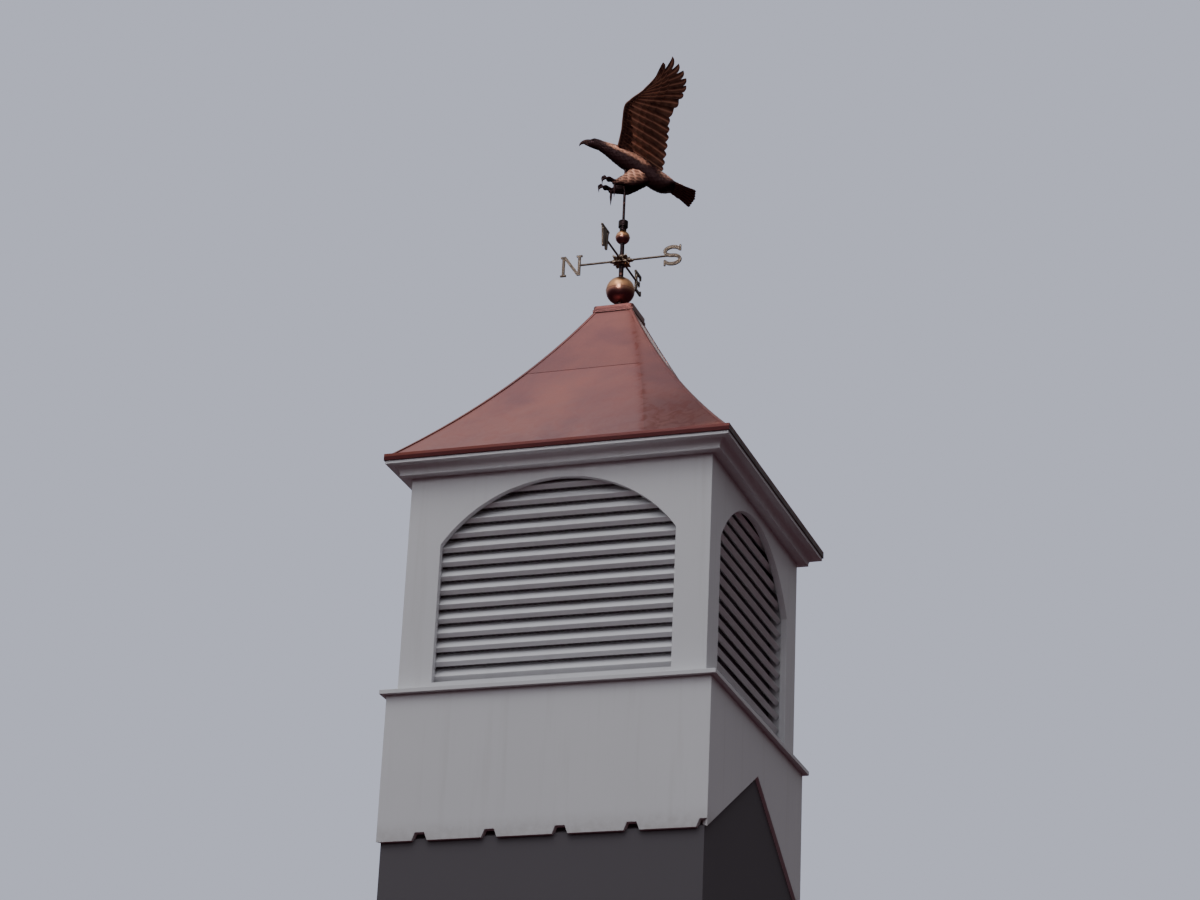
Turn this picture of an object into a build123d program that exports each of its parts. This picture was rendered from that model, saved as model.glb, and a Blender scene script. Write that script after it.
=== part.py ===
from build123d import *
from math import atan2, cos, degrees, radians, sin, sqrt, tan
import os

os.makedirs("parts", exist_ok=True)

# Garage cupola, millimetres, front towards -Y, standing on its lower base edge at z = 0

# Clearances
joint_gap = 0.3  # curved faces of fixed pieces
running_gap = 0.1  # spindle in its sleeve, on the radius

# Base skirt
base_step = 25.5  # base board face ahead of the louvre panel
base_height = 476.0
base_board = 22.0
roof_rise = 7.0  # rise of the garage roof over a run of 12
roof_run = 12.0
rib_pitch = 228.6
rib_offset = 67.0  # first roof rib right of the middle
rib_width = 50.0
rib_crown = 30.0
rib_height = 25.0

# Sill
sill_thick = 14.0
sill_projection = 18.0

# Louvre box
louvre_width = 1016.0
panel_thick = 22.0
panel_show = 729.0  # from the sill up to the crown moulding
opening_side = 114.0  # panel left beside the opening
opening_rail = 28.0
arch_rise = 202.0
arch_margin = 36.0  # panel left above the arch
slat_count = 14
slat_depth = 40.0
slat_nose = 13.0
slat_lap = 12.0
stile_thick = 18.0

# Crown moulding
crown_height = 44.0
crown_projection = 70.0
crown_lip = 13.0  # height of the top fillet
crown_step = 22.0  # underside of the fillet
crown_bed = 32.0  # underside of the lower fillet
crown_bead = 6.0  # height of the lower fillet

# Roof
plate_thick = 18.5
plate_ring = 78.0
plate_lap = 1.5  # plate edge past the crown
edge_thick = 2.5
edge_drop = 2.0
edge_flange = 30.0
eave_step = 14.0
sheet = 3.0
roof_height = 688.0
roof_top_width = 132.0
roof_sag = 29.0
cap_thick = 6.0
cap_lip = 3.0
cap_drop = 4.0
cap_space = 3.0
block_width = 104.0
block_height = 80.0

# Mast, balls and hub
mast_radius = 8.5
mast_tail = 14.0
foot_radius = 27.0
foot_thick = 4.0
neck_radius = 13.0
ball_radius = 50.0
ball_height = 98.0  # ball centre above the cap
hub_over_ball = 116.0  # middle to middle
hub_radius = 17.0
hub_depth = 34.0
hub_leaf = 36.0
leaf_half = 14.0
leaf_thick = 8.0
mast_step = 1.0
small_ball_radius = 25.0
small_over_hub = 89.0  # middle to middle
collar_radius = 17.0
collar_neck = 12.0
collar_step = 16.0  # height of the narrower part
collar_height = 40.0
collar_gap = 1.0  # collar above the small ball

# Directional letters
arm_radius = 3.8
letter_distance = 184.0  # letter middle from the mast
letter_height = 76.0
letter_thick = 7.0
stroke = 13.0
thin_stroke = 9.0
serif = 6.0

# Eagle
spindle_radius = 4.75
spindle_depth = 100.0
spindle_in_body = 45.0
eagle_height = 195.0  # eagle origin above the collar
eagle_yaw = 27.0
eagle_pitch = 22.0
wing_angle = 31.0
wing_length = 440.0  # middle of the body to the longest feather
wing_root = 28.0  # middle of the body to the seat of the wing
wing_thick = 5.0
wing_camber = 9.0
wing_lift = 44.0  # where the planes of both wings meet, above the eagle origin
nose_length = 184.0  # beak tip ahead of the spindle
belly_level = 4.0
tail_start = 168.0
tail_length = 84.0
tail_half = 66.0
tail_root = 42.0
tail_level = 28.0
tail_thick = 6.0
leg_gap = 16.0  # middle of a thigh from the middle of the body

# Levels and half widths that follow
louvre_half = louvre_width / 2
base_half = louvre_half + base_step
sill_half = base_half + sill_projection
back_face = louvre_half - panel_thick
sill_top = base_height + sill_thick
crown_bottom = sill_top + panel_show
crown_top = crown_bottom + crown_height
plate_top = crown_top + plate_thick
plate_half = louvre_half + crown_projection + plate_lap
plate_inner = louvre_half - plate_ring
edge_half = plate_half + edge_thick
eave_level = plate_top + edge_thick
eave_half = edge_half - eave_step
roof_top = eave_level + roof_height
top_half = roof_top_width / 2
cap_top = roof_top + cap_thick
opening_half = louvre_half - opening_side
opening_bottom = sill_top + opening_rail
arch_top = crown_bottom - arch_margin
spring_level = arch_top - arch_rise
slat_half = opening_half + slat_lap
slat_pitch = (arch_top - opening_bottom - 2 * slat_nose) / (slat_count - 1)
ridge_level = base_half * roof_rise / roof_run
front_point = (0, 0, 0)
sides = {"front": 0, "right": 90, "back": 180, "left": 270}


def mitre():
    """Cut the piece of the front side along both corner planes."""
    split(bisect_by=Plane(origin=front_point, z_dir=(1, 1, 0)), keep=Keep.BOTTOM)
    split(bisect_by=Plane(origin=front_point, z_dir=(-1, 1, 0)), keep=Keep.BOTTOM)


def bar(outer, inner, low, high):
    """Draw one straight length of the front side with square section and mitred ends."""
    with BuildSketch(Plane.YZ) as section:
        with Locations((-(outer + inner) / 2, (low + high) / 2)):
            Rectangle(outer - inner, high - low)
    extrude(section.sketch, amount=outer + 1, both=True)
    mitre()


def save(part, name):
    """Name a finished piece and write its file."""
    part.label = name
    export_step(part, "parts/" + name + ".step")


def save_round(part, stem):
    """Write one copy of a front piece for each side of the cupola."""
    for side, turn in sides.items():
        with BuildPart() as copy:
            with Locations(Location((0, 0, 0), (0, 0, turn))):
                add(part)
        save(copy.part, side + "_" + stem)


# Base boards with notches over the roof ribs
for side, turn in (("front", 0), ("back", 180)):
    with BuildPart() as base_board_part:
        bar(base_half, base_half - base_board, 0, base_height)
        with BuildSketch(Plane.XZ):
            for step in range(-3, 3):
                middle = rib_offset + step * rib_pitch
                if side == "back":
                    middle = -middle
                with BuildLine():
                    Polyline(
                        (middle - rib_width / 2, -1),
                        (middle + rib_width / 2, -1),
                        (middle + rib_crown / 2, rib_height),
                        (middle - rib_crown / 2, rib_height),
                        close=True,
                    )
                make_face()
        extrude(amount=base_half + 1, mode=Mode.SUBTRACT)
    with BuildPart() as placed:
        with Locations(Location((0, 0, 0), (0, 0, turn))):
            add(base_board_part.part)
    save(placed.part, "base_" + side)

# Base boards at the sides with the saddle cut over the ridge
with BuildPart() as base_side:
    bar(base_half, base_half - base_board, 0, base_height)
    with BuildSketch(Plane.XZ):
        with BuildLine():
            Polyline((-base_half, 0), (base_half, 0), (0, ridge_level), close=True)
        make_face()
    extrude(amount=base_half + 1, mode=Mode.SUBTRACT)
for side, turn in (("right", 90), ("left", 270)):
    with BuildPart() as placed:
        with Locations(Location((0, 0, 0), (0, 0, turn))):
            add(base_side.part)
    save(placed.part, "base_" + side)

# Corner posts inside the base
post_width = 60.0
post_top = base_height
post_low = post_width * roof_rise / roof_run
post_middle = base_half - base_board - post_width / 2
with BuildPart() as base_corner_posts:
    with BuildSketch(Plane.XY.offset(base_board * roof_rise / roof_run + post_low)):
        with GridLocations(2 * post_middle, 2 * post_middle, 2, 2):
            Rectangle(post_width, post_width)
    extrude(until=None, amount=post_top - base_board * roof_rise / roof_run - post_low)
save(base_corner_posts.part, "base_corner_posts")

# Sill boards
with BuildPart() as sill:
    bar(sill_half, back_face - slat_depth - 2 * stile_thick, base_height, sill_top)
save_round(sill.part, "sill")

# Louvre panels with the arched opening
with BuildPart() as panel:
    bar(louvre_half, back_face, sill_top, crown_top)
    with BuildSketch(Plane.XZ):
        with BuildLine():
            Line((-opening_half, opening_bottom), (-opening_half, spring_level))
            ThreePointArc((-opening_half, spring_level), (0, arch_top), (opening_half, spring_level))
            Line((opening_half, spring_level), (opening_half, opening_bottom))
            Line((opening_half, opening_bottom), (-opening_half, opening_bottom))
        make_face()
    extrude(amount=louvre_half + 1, mode=Mode.SUBTRACT)
save_round(panel.part, "panel")

# Slats behind the opening
with BuildPart() as louvre:
    with BuildSketch(Plane.YZ):
        for step in range(slat_count):
            low = opening_bottom + slat_nose / 2 + step * slat_pitch
            with BuildLine():
                Polyline(
                    (-back_face, low),
                    (-back_face, low + slat_nose),
                    (-back_face + slat_depth, low + slat_nose + slat_depth),
                    (-back_face + slat_depth, low + slat_depth),
                    close=True,
                )
            make_face()
    extrude(amount=slat_half, both=True)
save_round(louvre.part, "louvre")

# Upright stiles that hold the slats
with BuildPart() as louvre_stiles:
    with BuildSketch(Plane.XY.offset(sill_top)):
        with PolarLocations(0, 4):
            for end in (-1, 1):
                with Locations((end * (slat_half + stile_thick / 2), -back_face + slat_depth / 2)):
                    Rectangle(stile_thick, slat_depth)
    extrude(amount=crown_top - sill_top)
save(louvre_stiles.part, "louvre_stiles")

# Crown moulding
with BuildPart() as crown:
    with BuildSketch(Plane.YZ):
        with BuildLine():
            face = -louvre_half
            lip_y = face - crown_projection
            Polyline(
                (lip_y + crown_step, crown_top - crown_lip),
                (lip_y, crown_top - crown_lip),
                (lip_y, crown_top),
                (face, crown_top),
                (face, crown_bottom),
                (face - crown_bed, crown_bottom),
                (face - crown_bed, crown_bottom + crown_bead),
            )
            start = (face - crown_bed, crown_bottom + crown_bead)
            end = (lip_y + crown_step, crown_top - crown_lip)
            RadiusArc(start, end, -crown_height * 0.7)
        make_face()
    extrude(amount=plate_half + 1, both=True)
    mitre()
save_round(crown.part, "crown")

# Plate under the roof
with BuildPart() as top_plate:
    with BuildSketch(Plane.XY.offset(crown_top)):
        Rectangle(2 * plate_half, 2 * plate_half)
        Rectangle(2 * plate_inner, 2 * plate_inner, mode=Mode.SUBTRACT)
    extrude(amount=plate_thick)
save(top_plate.part, "top_plate")

# Drip edge, an angle of copper around the plate
with BuildPart() as drip_edge:
    with BuildSketch(Plane.XY.offset(crown_top - edge_drop)):
        Rectangle(2 * edge_half, 2 * edge_half)
        Rectangle(2 * plate_half, 2 * plate_half, mode=Mode.SUBTRACT)
    extrude(amount=eave_level - crown_top + edge_drop)
    with BuildSketch(Plane.XY.offset(plate_top)):
        Rectangle(2 * edge_half, 2 * edge_half)
        Rectangle(2 * (edge_half - edge_flange), 2 * (edge_half - edge_flange), mode=Mode.SUBTRACT)
    extrude(amount=edge_thick)
save(drip_edge.part, "drip_edge")

# Swept roof panels
run = eave_half - top_half
chord = sqrt(run**2 + roof_height**2)
chord_angle = atan2(roof_height, run)
turn_angle = 4 * atan2(2 * roof_sag, chord)
low_angle = chord_angle - turn_angle / 2
high_angle = chord_angle + turn_angle / 2
low_inset = sheet / sin(low_angle)
high_inset = sheet / sin(high_angle)
middle_y = -(eave_half + top_half) / 2 + roof_sag * sin(chord_angle)
middle_z = (eave_level + roof_top) / 2 - roof_sag * cos(chord_angle)
mid_inset = sheet / sin(chord_angle)
with BuildPart() as roof_panel:
    with BuildSketch(Plane.YZ):
        with BuildLine():
            ThreePointArc((-eave_half, eave_level), (middle_y, middle_z), (-top_half, roof_top))
            Line((-top_half, roof_top), (-top_half + high_inset, roof_top))
            ThreePointArc(
                (-top_half + high_inset, roof_top),
                (middle_y + mid_inset, middle_z),
                (-eave_half + low_inset, eave_level),
            )
            Line((-eave_half + low_inset, eave_level), (-eave_half, eave_level))
        make_face()
    extrude(amount=eave_half + 1, both=True)
    mitre()
save_round(roof_panel.part, "roof")

# Cap with a turned down lip
cap_inner = top_half + cap_space
cap_half = cap_inner + cap_lip
with BuildPart() as roof_cap:
    with BuildSketch(Plane.XY.offset(roof_top)):
        Rectangle(2 * cap_half, 2 * cap_half)
        Circle(mast_radius + joint_gap, mode=Mode.SUBTRACT)
    extrude(amount=cap_thick)
    with BuildSketch(Plane.XY.offset(roof_top)):
        Rectangle(2 * cap_half, 2 * cap_half)
        Rectangle(2 * cap_inner, 2 * cap_inner, mode=Mode.SUBTRACT)
    extrude(amount=-cap_drop)
save(roof_cap.part, "roof_cap")

# Block under the cap that carries the mast
with BuildPart() as peak_block:
    with BuildSketch(Plane.XY.offset(roof_top - block_height)):
        Rectangle(block_width, block_width)
        Circle(mast_radius + joint_gap, mode=Mode.SUBTRACT)
    extrude(amount=block_height)
save(peak_block.part, "peak_block")

# Mast turned in one piece, with a bore for the spindle
ball_level = cap_top + ball_height
hub_level = ball_level + hub_over_ball
small_ball_level = hub_level + small_over_hub
upper_radius = mast_radius - mast_step
top_radius = mast_radius - 2 * mast_step
small_top = small_ball_level + sqrt(small_ball_radius**2 - (top_radius + 3) ** 2)
collar_bottom = small_top + collar_gap
collar_top = collar_bottom + collar_height
mast_top = collar_top - collar_height / 2
ball_seat = ball_level - sqrt(ball_radius**2 - (neck_radius + 2) ** 2)
hub_seat = hub_level - hub_depth / 2
small_seat = small_ball_level - sqrt(small_ball_radius**2 - (upper_radius + 2) ** 2)
bore_radius = spindle_radius + running_gap
bore_bottom = mast_top - spindle_depth
with BuildPart() as mast:
    with BuildSketch(Plane.XZ):
        with BuildLine():
            Polyline(
                (0, roof_top - block_height - mast_tail),
                (mast_radius, roof_top - block_height - mast_tail),
                (mast_radius, cap_top),
                (foot_radius, cap_top),
                (foot_radius, cap_top + foot_thick),
                (neck_radius + 3, cap_top + foot_thick + 5),
                (neck_radius, cap_top + foot_thick + 14),
                (neck_radius, ball_seat),
                (mast_radius, ball_seat),
                (mast_radius, hub_seat),
                (upper_radius, hub_seat),
                (upper_radius, small_seat),
                (top_radius, small_seat),
                (top_radius, mast_top),
                (bore_radius, mast_top),
                (bore_radius, bore_bottom),
                (0, bore_bottom),
                close=True,
            )
        make_face()
    revolve(axis=Axis.Z)
save(mast.part, "mast")

# Balls threaded on the mast
ball_top = ball_level + sqrt(ball_radius**2 - (mast_radius + 4) ** 2)
with BuildPart() as mast_ball:
    with Locations((0, 0, ball_level)):
        Sphere(ball_radius)
    split(bisect_by=Plane.XY.offset(ball_seat), keep=Keep.TOP)
    split(bisect_by=Plane.XY.offset(ball_top), keep=Keep.BOTTOM)
    with Locations((0, 0, ball_level)):
        Cylinder(mast_radius + joint_gap, 3 * ball_radius, mode=Mode.SUBTRACT)
save(mast_ball.part, "mast_ball")

with BuildPart() as small_ball:
    with Locations((0, 0, small_ball_level)):
        Sphere(small_ball_radius)
    split(bisect_by=Plane.XY.offset(small_seat), keep=Keep.TOP)
    split(bisect_by=Plane.XY.offset(small_top), keep=Keep.BOTTOM)
    with Locations((0, 0, small_ball_level)):
        Cylinder(top_radius + joint_gap, 3 * small_ball_radius, mode=Mode.SUBTRACT)
save(small_ball.part, "small_ball")

# Outlines placed by hand, so that they follow the current sketch
def outline_face(points, middle=(0, 0)):
    """Draw a closed outline shifted by a middle point."""
    with BuildLine() as outline:
        Polyline(*[(x + middle[0], y + middle[1]) for x, y in points], close=True)
    make_face(outline.edges())


def slab(x0, x1, y0, y1, middle):
    """Draw a rectangle between two corners shifted by a middle point."""
    outline_face([(x0, y0), (x1, y0), (x1, y1), (x0, y1)], middle)


# Hub with four leaves
leaf = (
    (hub_radius / 2, leaf_half / 2),
    (hub_radius, leaf_half / 2),
    (hub_radius + 4, leaf_half),
    (hub_leaf - 8, leaf_half * 0.7),
    (hub_leaf - 5, leaf_half * 0.4),
    (hub_leaf, leaf_half * 0.35),
)
with BuildPart() as directional_hub:
    with BuildSketch(Plane.XY.offset(hub_seat)):
        Circle(hub_radius)
    extrude(amount=hub_depth)
    chamfer(directional_hub.edges().filter_by(GeomType.CIRCLE), 3)
    for plane in (Plane.XZ, Plane.YZ):
        with BuildSketch(plane.offset(-leaf_thick / 2)):
            for end in (-1, 1):
                upper = [(end * x, y) for x, y in leaf]
                lower = [(end * x, -y) for x, y in reversed(leaf)]
                outline_face(upper + lower, (0, hub_level))
        extrude(amount=leaf_thick)
    with Locations((0, 0, hub_level)):
        Cylinder(upper_radius + joint_gap, 2 * hub_depth, mode=Mode.SUBTRACT)
save(directional_hub.part, "directional_hub")


def letter(mark, middle):
    """Draw a slab letter about a middle point in the current sketch."""
    high = letter_height / 2
    wide = letter_height * 0.36
    if mark == "N":
        wide = letter_height * 0.44
        slab(-wide, -wide + thin_stroke, -high, high, middle)
        slab(wide - thin_stroke, wide, -high, high, middle)
        outline_face([(-wide, high), (-wide + stroke, high), (wide, -high), (wide - stroke, -high)], middle)
        slab(-wide - serif, -wide + thin_stroke + serif, -high, -high + serif, middle)
        slab(-wide - serif, -wide + thin_stroke, high - serif, high, middle)
        slab(wide - thin_stroke - serif, wide + serif, high - serif, high, middle)
    if mark == "E":
        slab(-wide, -wide + stroke, -high, high, middle)
        slab(-wide - serif, wide, high - thin_stroke, high, middle)
        slab(-wide - serif, wide + serif / 2, -high, -high + thin_stroke, middle)
        slab(-wide, wide / 2, -thin_stroke / 2, thin_stroke / 2, middle)
        slab(wide - serif, wide, high - 3 * serif, high, middle)
        slab(wide - serif / 2, wide + serif / 2, -high, -high + 3 * serif, middle)
        slab(wide / 2 - serif, wide / 2, -serif * 1.6, serif * 1.6, middle)
    if mark == "W":
        span = wide * 1.15
        half = stroke * 0.42
        for flip in (-1, 1):
            outer = [(flip * span, high), (flip * (span - 2 * half), high)]
            foot = [(flip * (span / 2 - half), -high), (flip * (span / 2 + half), -high)]
            outline_face(outer + foot, middle)
            inner = [(flip * -half, high), (flip * half, high)]
            outline_face(inner + foot[::-1], middle)
        for place in (-span + half, 0, span - half):
            slab(place - 2 * half, place + 2 * half, high - serif, high, middle)
    if mark == "S":
        curl = (letter_height - stroke * 0.9) / 4
        with BuildLine() as spine:
            EllipticalCenterArc((middle[0], middle[1] + curl), wide, curl, start_angle=15, arc_size=255)
            EllipticalCenterArc((middle[0], middle[1] - curl), wide, curl, start_angle=195, arc_size=255)
        trace(spine.edges(), line_width=stroke * 0.9)
        slab(wide - serif / 2, wide + serif / 2, curl, 2 * curl + stroke * 0.45, middle)
        slab(-wide - serif / 2, -wide + serif / 2, -2 * curl - stroke * 0.45, -curl, middle)


# Arms with their letters, each letter standing in the plane of its arm
arms = (
    ("north", "N", Plane.XZ, -1, 0.38),
    ("south", "S", Plane.XZ, 1, 0.04),
    ("west", "W", Plane.YZ, -1, 0.3),
    ("east", "E", Plane.YZ, 1, 0.31),
)
for name, mark, plane, end, inset in arms:
    arm_length = letter_distance - letter_height * inset
    rod_plane = Plane.YZ if plane == Plane.XZ else Plane.XZ
    with BuildPart() as arm:
        with BuildSketch(plane.offset(-letter_thick / 2)):
            letter(mark, (end * letter_distance, hub_level))
        extrude(amount=letter_thick)
        sign = end if plane == Plane.XZ else -end
        with BuildSketch(rod_plane.offset(sign * hub_leaf)):
            with Locations((0, hub_level)):
                Circle(arm_radius)
        extrude(amount=sign * (arm_length - hub_leaf))
    save(arm.part, "arm_" + name)

# Collar at the top of the mast
with BuildPart() as mast_collar:
    with BuildSketch(Plane.XY.offset(collar_bottom)):
        Circle(collar_neck)
    extrude(amount=collar_step)
    with BuildSketch(Plane.XY.offset(collar_bottom + collar_step)):
        Circle(collar_radius)
    extrude(amount=collar_height - collar_step)
    rims = mast_collar.edges().filter_by(GeomType.CIRCLE).group_by(Axis.Z)
    chamfer(rims[0] + rims[-1], 2)
    with BuildSketch(Plane.XY.offset(collar_bottom)):
        Circle(top_radius + joint_gap)
    extrude(amount=mast_top - collar_bottom, mode=Mode.SUBTRACT)
    with BuildSketch(Plane.XY.offset(mast_top)):
        Circle(bore_radius)
    extrude(amount=collar_top - mast_top, mode=Mode.SUBTRACT)
save(mast_collar.part, "mast_collar")

# Eagle frame: x towards the tail, -y the left wing, z out of the back
eagle_level = collar_top + eagle_height
yaw = radians(eagle_yaw)
pitch = radians(eagle_pitch)
tail_way = (cos(pitch) * cos(yaw), cos(pitch) * sin(yaw), -sin(pitch))
back_way = (sin(pitch) * cos(yaw), sin(pitch) * sin(yaw), cos(pitch))
eagle_plane = Plane(origin=(0, 0, eagle_level), x_dir=tail_way, z_dir=back_way)

# Spindle
spindle_top = eagle_level + spindle_in_body
with BuildPart() as vane_spindle:
    with BuildSketch(Plane.XY.offset(bore_bottom + joint_gap)):
        Circle(spindle_radius)
    extrude(amount=spindle_top - bore_bottom - joint_gap)
save(vane_spindle.part, "vane_spindle")


def wing_place(end):
    """Place a wing's own plane on the eagle, left for -1 and right for 1."""
    return Location((0, 0, wing_lift), (end * wing_angle, 0, 0))


# Eagle body, head and beak, lofted through oval sections drawn for a reach of 184
body_grid = nose_length / 184
sections = (
    (-160, 43, 17, 13),
    (-148, 47, 19.5, 16),
    (-128, 50, 20, 17),
    (-105, 51, 22, 19),
    (-82, 50, 27, 23),
    (-55, 47.5, 33, 28),
    (-20, 44.5, 38, 33),
    (25, 41, 40, 36),
    (70, 33, 37, 37),
    (105, 27, 33, 38),
    (140, 26, 27, 40),
    (158, 28, 18, 41),
    (tail_start / body_grid, tail_level / body_grid, 7, tail_root / body_grid),
)
beak_sections = ((-160, 42, 12, 8), (-170, 37, 10.5, 6), (-178, 29, 8, 3.5), (-184, 17, 3.5, 1.5))
with BuildPart() as eagle_form:
    for place, height, tall, wide in sections:
        with BuildSketch(Plane.YZ.offset(place * body_grid)):
            with Locations((0, height * body_grid)):
                Ellipse(wide * body_grid, tall * body_grid)
    loft()
    for place, height, tall, wide in beak_sections:
        with BuildSketch(Plane.YZ.offset(place * body_grid)):
            with Locations((0, height * body_grid)):
                Ellipse(wide * body_grid, tall * body_grid)
    loft(ruled=True)
    split(bisect_by=Plane.XY.offset(belly_level), keep=Keep.TOP)
    for end in (-1, 1):
        wing_seat = wing_place(end) * Location((0, end * wing_root, 0), (-90 * end, 0, 0))
        split(bisect_by=Plane(wing_seat), keep=Keep.BOTTOM)
with BuildPart() as eagle_body:
    with Locations(eagle_plane.location):
        add(eagle_form.part)
    with BuildSketch(Plane.XY.offset(spindle_top)):
        Circle(spindle_radius + joint_gap)
    extrude(amount=-3 * spindle_in_body, mode=Mode.SUBTRACT)
save(eagle_body.part, "eagle_body")

# Wings, outlined in their own plane as run from the nose and reach from the body, for a length of 440
wing_grid = wing_length / 440
wing_outline = (
    (-66, wing_root / wing_grid), (-76, 96), (-89, 146), (-99, 190), (-92, 214), (-62, 271), (-38, 347),
    (-35, 404), (-17, 385), (-14, 440), (6, 405), (16, 425), (24, 393), (41, 409), (43, 377),
    (61, 387), (58, 356), (71, 362), (66, 330), (76, 326), (68, 300), (74, 276), (55, 214),
    (70, 203), (67, 186), (80, 175), (75, 157), (89, 145), (82, 127), (97, 112), (90, 94),
    (105, 80), (98, 62), (112, 48), (106, 36), (116, wing_root / wing_grid),
)
wing_low = -106 * wing_grid
wing_high = 124 * wing_grid
wing_middle = (wing_low + wing_high) / 2
for side, end in (("left", -1), ("right", 1)):
    with BuildPart() as wing_form:
        with BuildSketch(Plane.XZ):
            with BuildLine():
                ThreePointArc((wing_low, 0), (wing_middle, wing_camber), (wing_high, 0))
                Line((wing_high, 0), (wing_high, wing_thick))
                ThreePointArc((wing_high, wing_thick), (wing_middle, wing_camber + wing_thick), (wing_low, wing_thick))
                Line((wing_low, wing_thick), (wing_low, 0))
            make_face()
        extrude(amount=-end * (wing_length + wing_camber))
        with BuildSketch(Plane.XY.offset(-wing_camber)):
            with BuildLine():
                Polyline(*[(ahead * wing_grid, end * reach * wing_grid) for ahead, reach in wing_outline], close=True)
            make_face()
        extrude(amount=4 * (wing_camber + wing_thick), mode=Mode.INTERSECT)
    with BuildPart() as wing:
        with Locations(eagle_plane.location * wing_place(end)):
            add(wing_form.part)
    save(wing.part, "eagle_" + side + "_wing")

# Tail fan
tail_end = tail_start + tail_length
with BuildPart() as tail_form:
    with BuildSketch(Plane.XY.offset(tail_level - tail_thick / 2)):
        with BuildLine():
            feathers = 7
            points = [(tail_start, -tail_root)]
            for step in range(feathers):
                spread = tail_half * 2 / feathers
                low = -tail_half + step * spread
                points.append((tail_end - abs(low) * 0.12, low))
                points.append((tail_end + 6 - abs(low + spread / 2) * 0.12, low + spread / 2))
            points.append((tail_end - tail_half * 0.12, tail_half))
            points.append((tail_start, tail_root))
            Polyline(*points, close=True)
        make_face()
    extrude(amount=tail_thick)
with BuildPart() as eagle_tail:
    with Locations(eagle_plane.location):
        add(tail_form.part)
save(eagle_tail.part, "eagle_tail")


def limb(points):
    """Loft a tapering limb through points given as x, y, z and radius."""
    rings = []
    for spot, ahead in zip(points, points[1:] + points[-1:]):
        way = [ahead[axis] - spot[axis] for axis in range(3)]
        if spot is ahead:
            way = [spot[axis] - points[-2][axis] for axis in range(3)]
        with BuildSketch(Plane(origin=spot[:3], z_dir=way)) as ring:
            RegularPolygon(spot[3], 8)
        rings.append(ring.sketch)
    loft(rings, ruled=True)


# Legs and talons
with BuildPart() as legs_form:
    for end in (-1, 1):
        mid = end * (leg_gap + 4)
        thigh = ((0, 60, 16, 35, 13), (26, 47, 19, 31, 12), (48, 22, 20, 24, 11), (62, -6, 20, 13, 9), (67, -14, 20, 9, 8))
        for drop, place, apart, long, wide in thigh:
            with BuildSketch(Plane.XY.offset(belly_level - drop)):
                with Locations((place, end * (apart - 16 + leg_gap))):
                    Ellipse(long, wide)
        loft(ruled=True)
        ankle = belly_level - 64
        for side_way, reach_x, reach_z in ((-11, -54, -86), (0, -60, -72), (11, -58, -60)):
            limb([
                (-12, mid + side_way * 0.3, ankle + 6, 5),
                (-38, mid + side_way, ankle + 4, 4.5),
                (reach_x, mid + side_way * 1.1, reach_z + 10, 3),
                (reach_x + 4, mid + side_way * 1.1, reach_z - 8, 1),
            ])
        limb([
            (-14, mid, ankle + 6, 5),
            (-4, mid, ankle - 24, 4),
            (6, mid, ankle - 50, 1.2),
        ])
with BuildPart() as eagle_legs:
    with Locations(eagle_plane.location):
        add(legs_form.part)
save(eagle_legs.part, "eagle_legs")
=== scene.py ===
"""Garage cupola with swept copper roof and turning eagle vane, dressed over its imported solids."""
import math

import bmesh
import bpy
from bpy.props import FloatProperty, FloatVectorProperty, IntProperty, PointerProperty
from mathutils import Matrix, Vector


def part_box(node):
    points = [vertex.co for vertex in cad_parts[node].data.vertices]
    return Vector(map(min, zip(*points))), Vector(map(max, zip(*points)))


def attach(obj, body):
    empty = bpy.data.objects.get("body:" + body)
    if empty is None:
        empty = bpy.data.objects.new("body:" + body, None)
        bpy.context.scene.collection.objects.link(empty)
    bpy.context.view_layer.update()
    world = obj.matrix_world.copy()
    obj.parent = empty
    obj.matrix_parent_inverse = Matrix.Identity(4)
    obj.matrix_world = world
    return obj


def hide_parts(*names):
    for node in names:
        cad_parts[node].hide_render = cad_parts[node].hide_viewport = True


bl_info = {
    "name": "Garage Cupola",
    "version": (1, 0, 0),
    "blender": (4, 5, 0),
    "location": "View3D > Sidebar > Cupola",
    "description": "Dresses a louvred cupola with copper roof, compass letters and eagle vane",
    "category": "Object",
}

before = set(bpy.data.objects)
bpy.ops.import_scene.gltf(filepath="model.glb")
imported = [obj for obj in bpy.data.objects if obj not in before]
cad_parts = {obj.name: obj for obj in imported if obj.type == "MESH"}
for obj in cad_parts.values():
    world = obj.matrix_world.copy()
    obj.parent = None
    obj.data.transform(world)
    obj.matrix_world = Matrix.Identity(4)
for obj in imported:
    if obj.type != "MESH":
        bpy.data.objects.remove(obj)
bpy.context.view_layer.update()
QUARTERS = [Matrix.Rotation(math.radians(90 * quarter), 4, "Z") for quarter in range(4)]
SIDES = dict(zip(("front", "right", "back", "left"), QUARTERS))


def linear(code):
    """Turn an sRGB hex colour into linear red, green and blue."""
    parts = [int(code[place:place + 2], 16) / 255 for place in (1, 3, 5)]
    return [part / 12.92 if part <= 0.04045 else ((part + 0.055) / 1.055) ** 2.4 for part in parts]


def shade(colour, factor=1.0):
    """Scale a linear colour and add the alpha that sockets want."""
    return (*[min(1.0, part * factor) for part in colour], 1.0)


def clip(*values):
    """Hold the least of the values between 0 and 1."""
    return max(0.0, min(1.0, *values))


def bell(away, width):
    """Fall from 1 in the middle to a third at the width."""
    return math.exp(-(away / width) ** 2)


# Settings that a user would change

LENGTH = {"unit": "LENGTH", "subtype": "DISTANCE"}
COLOUR = {"size": 3, "subtype": "COLOR"}


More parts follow.
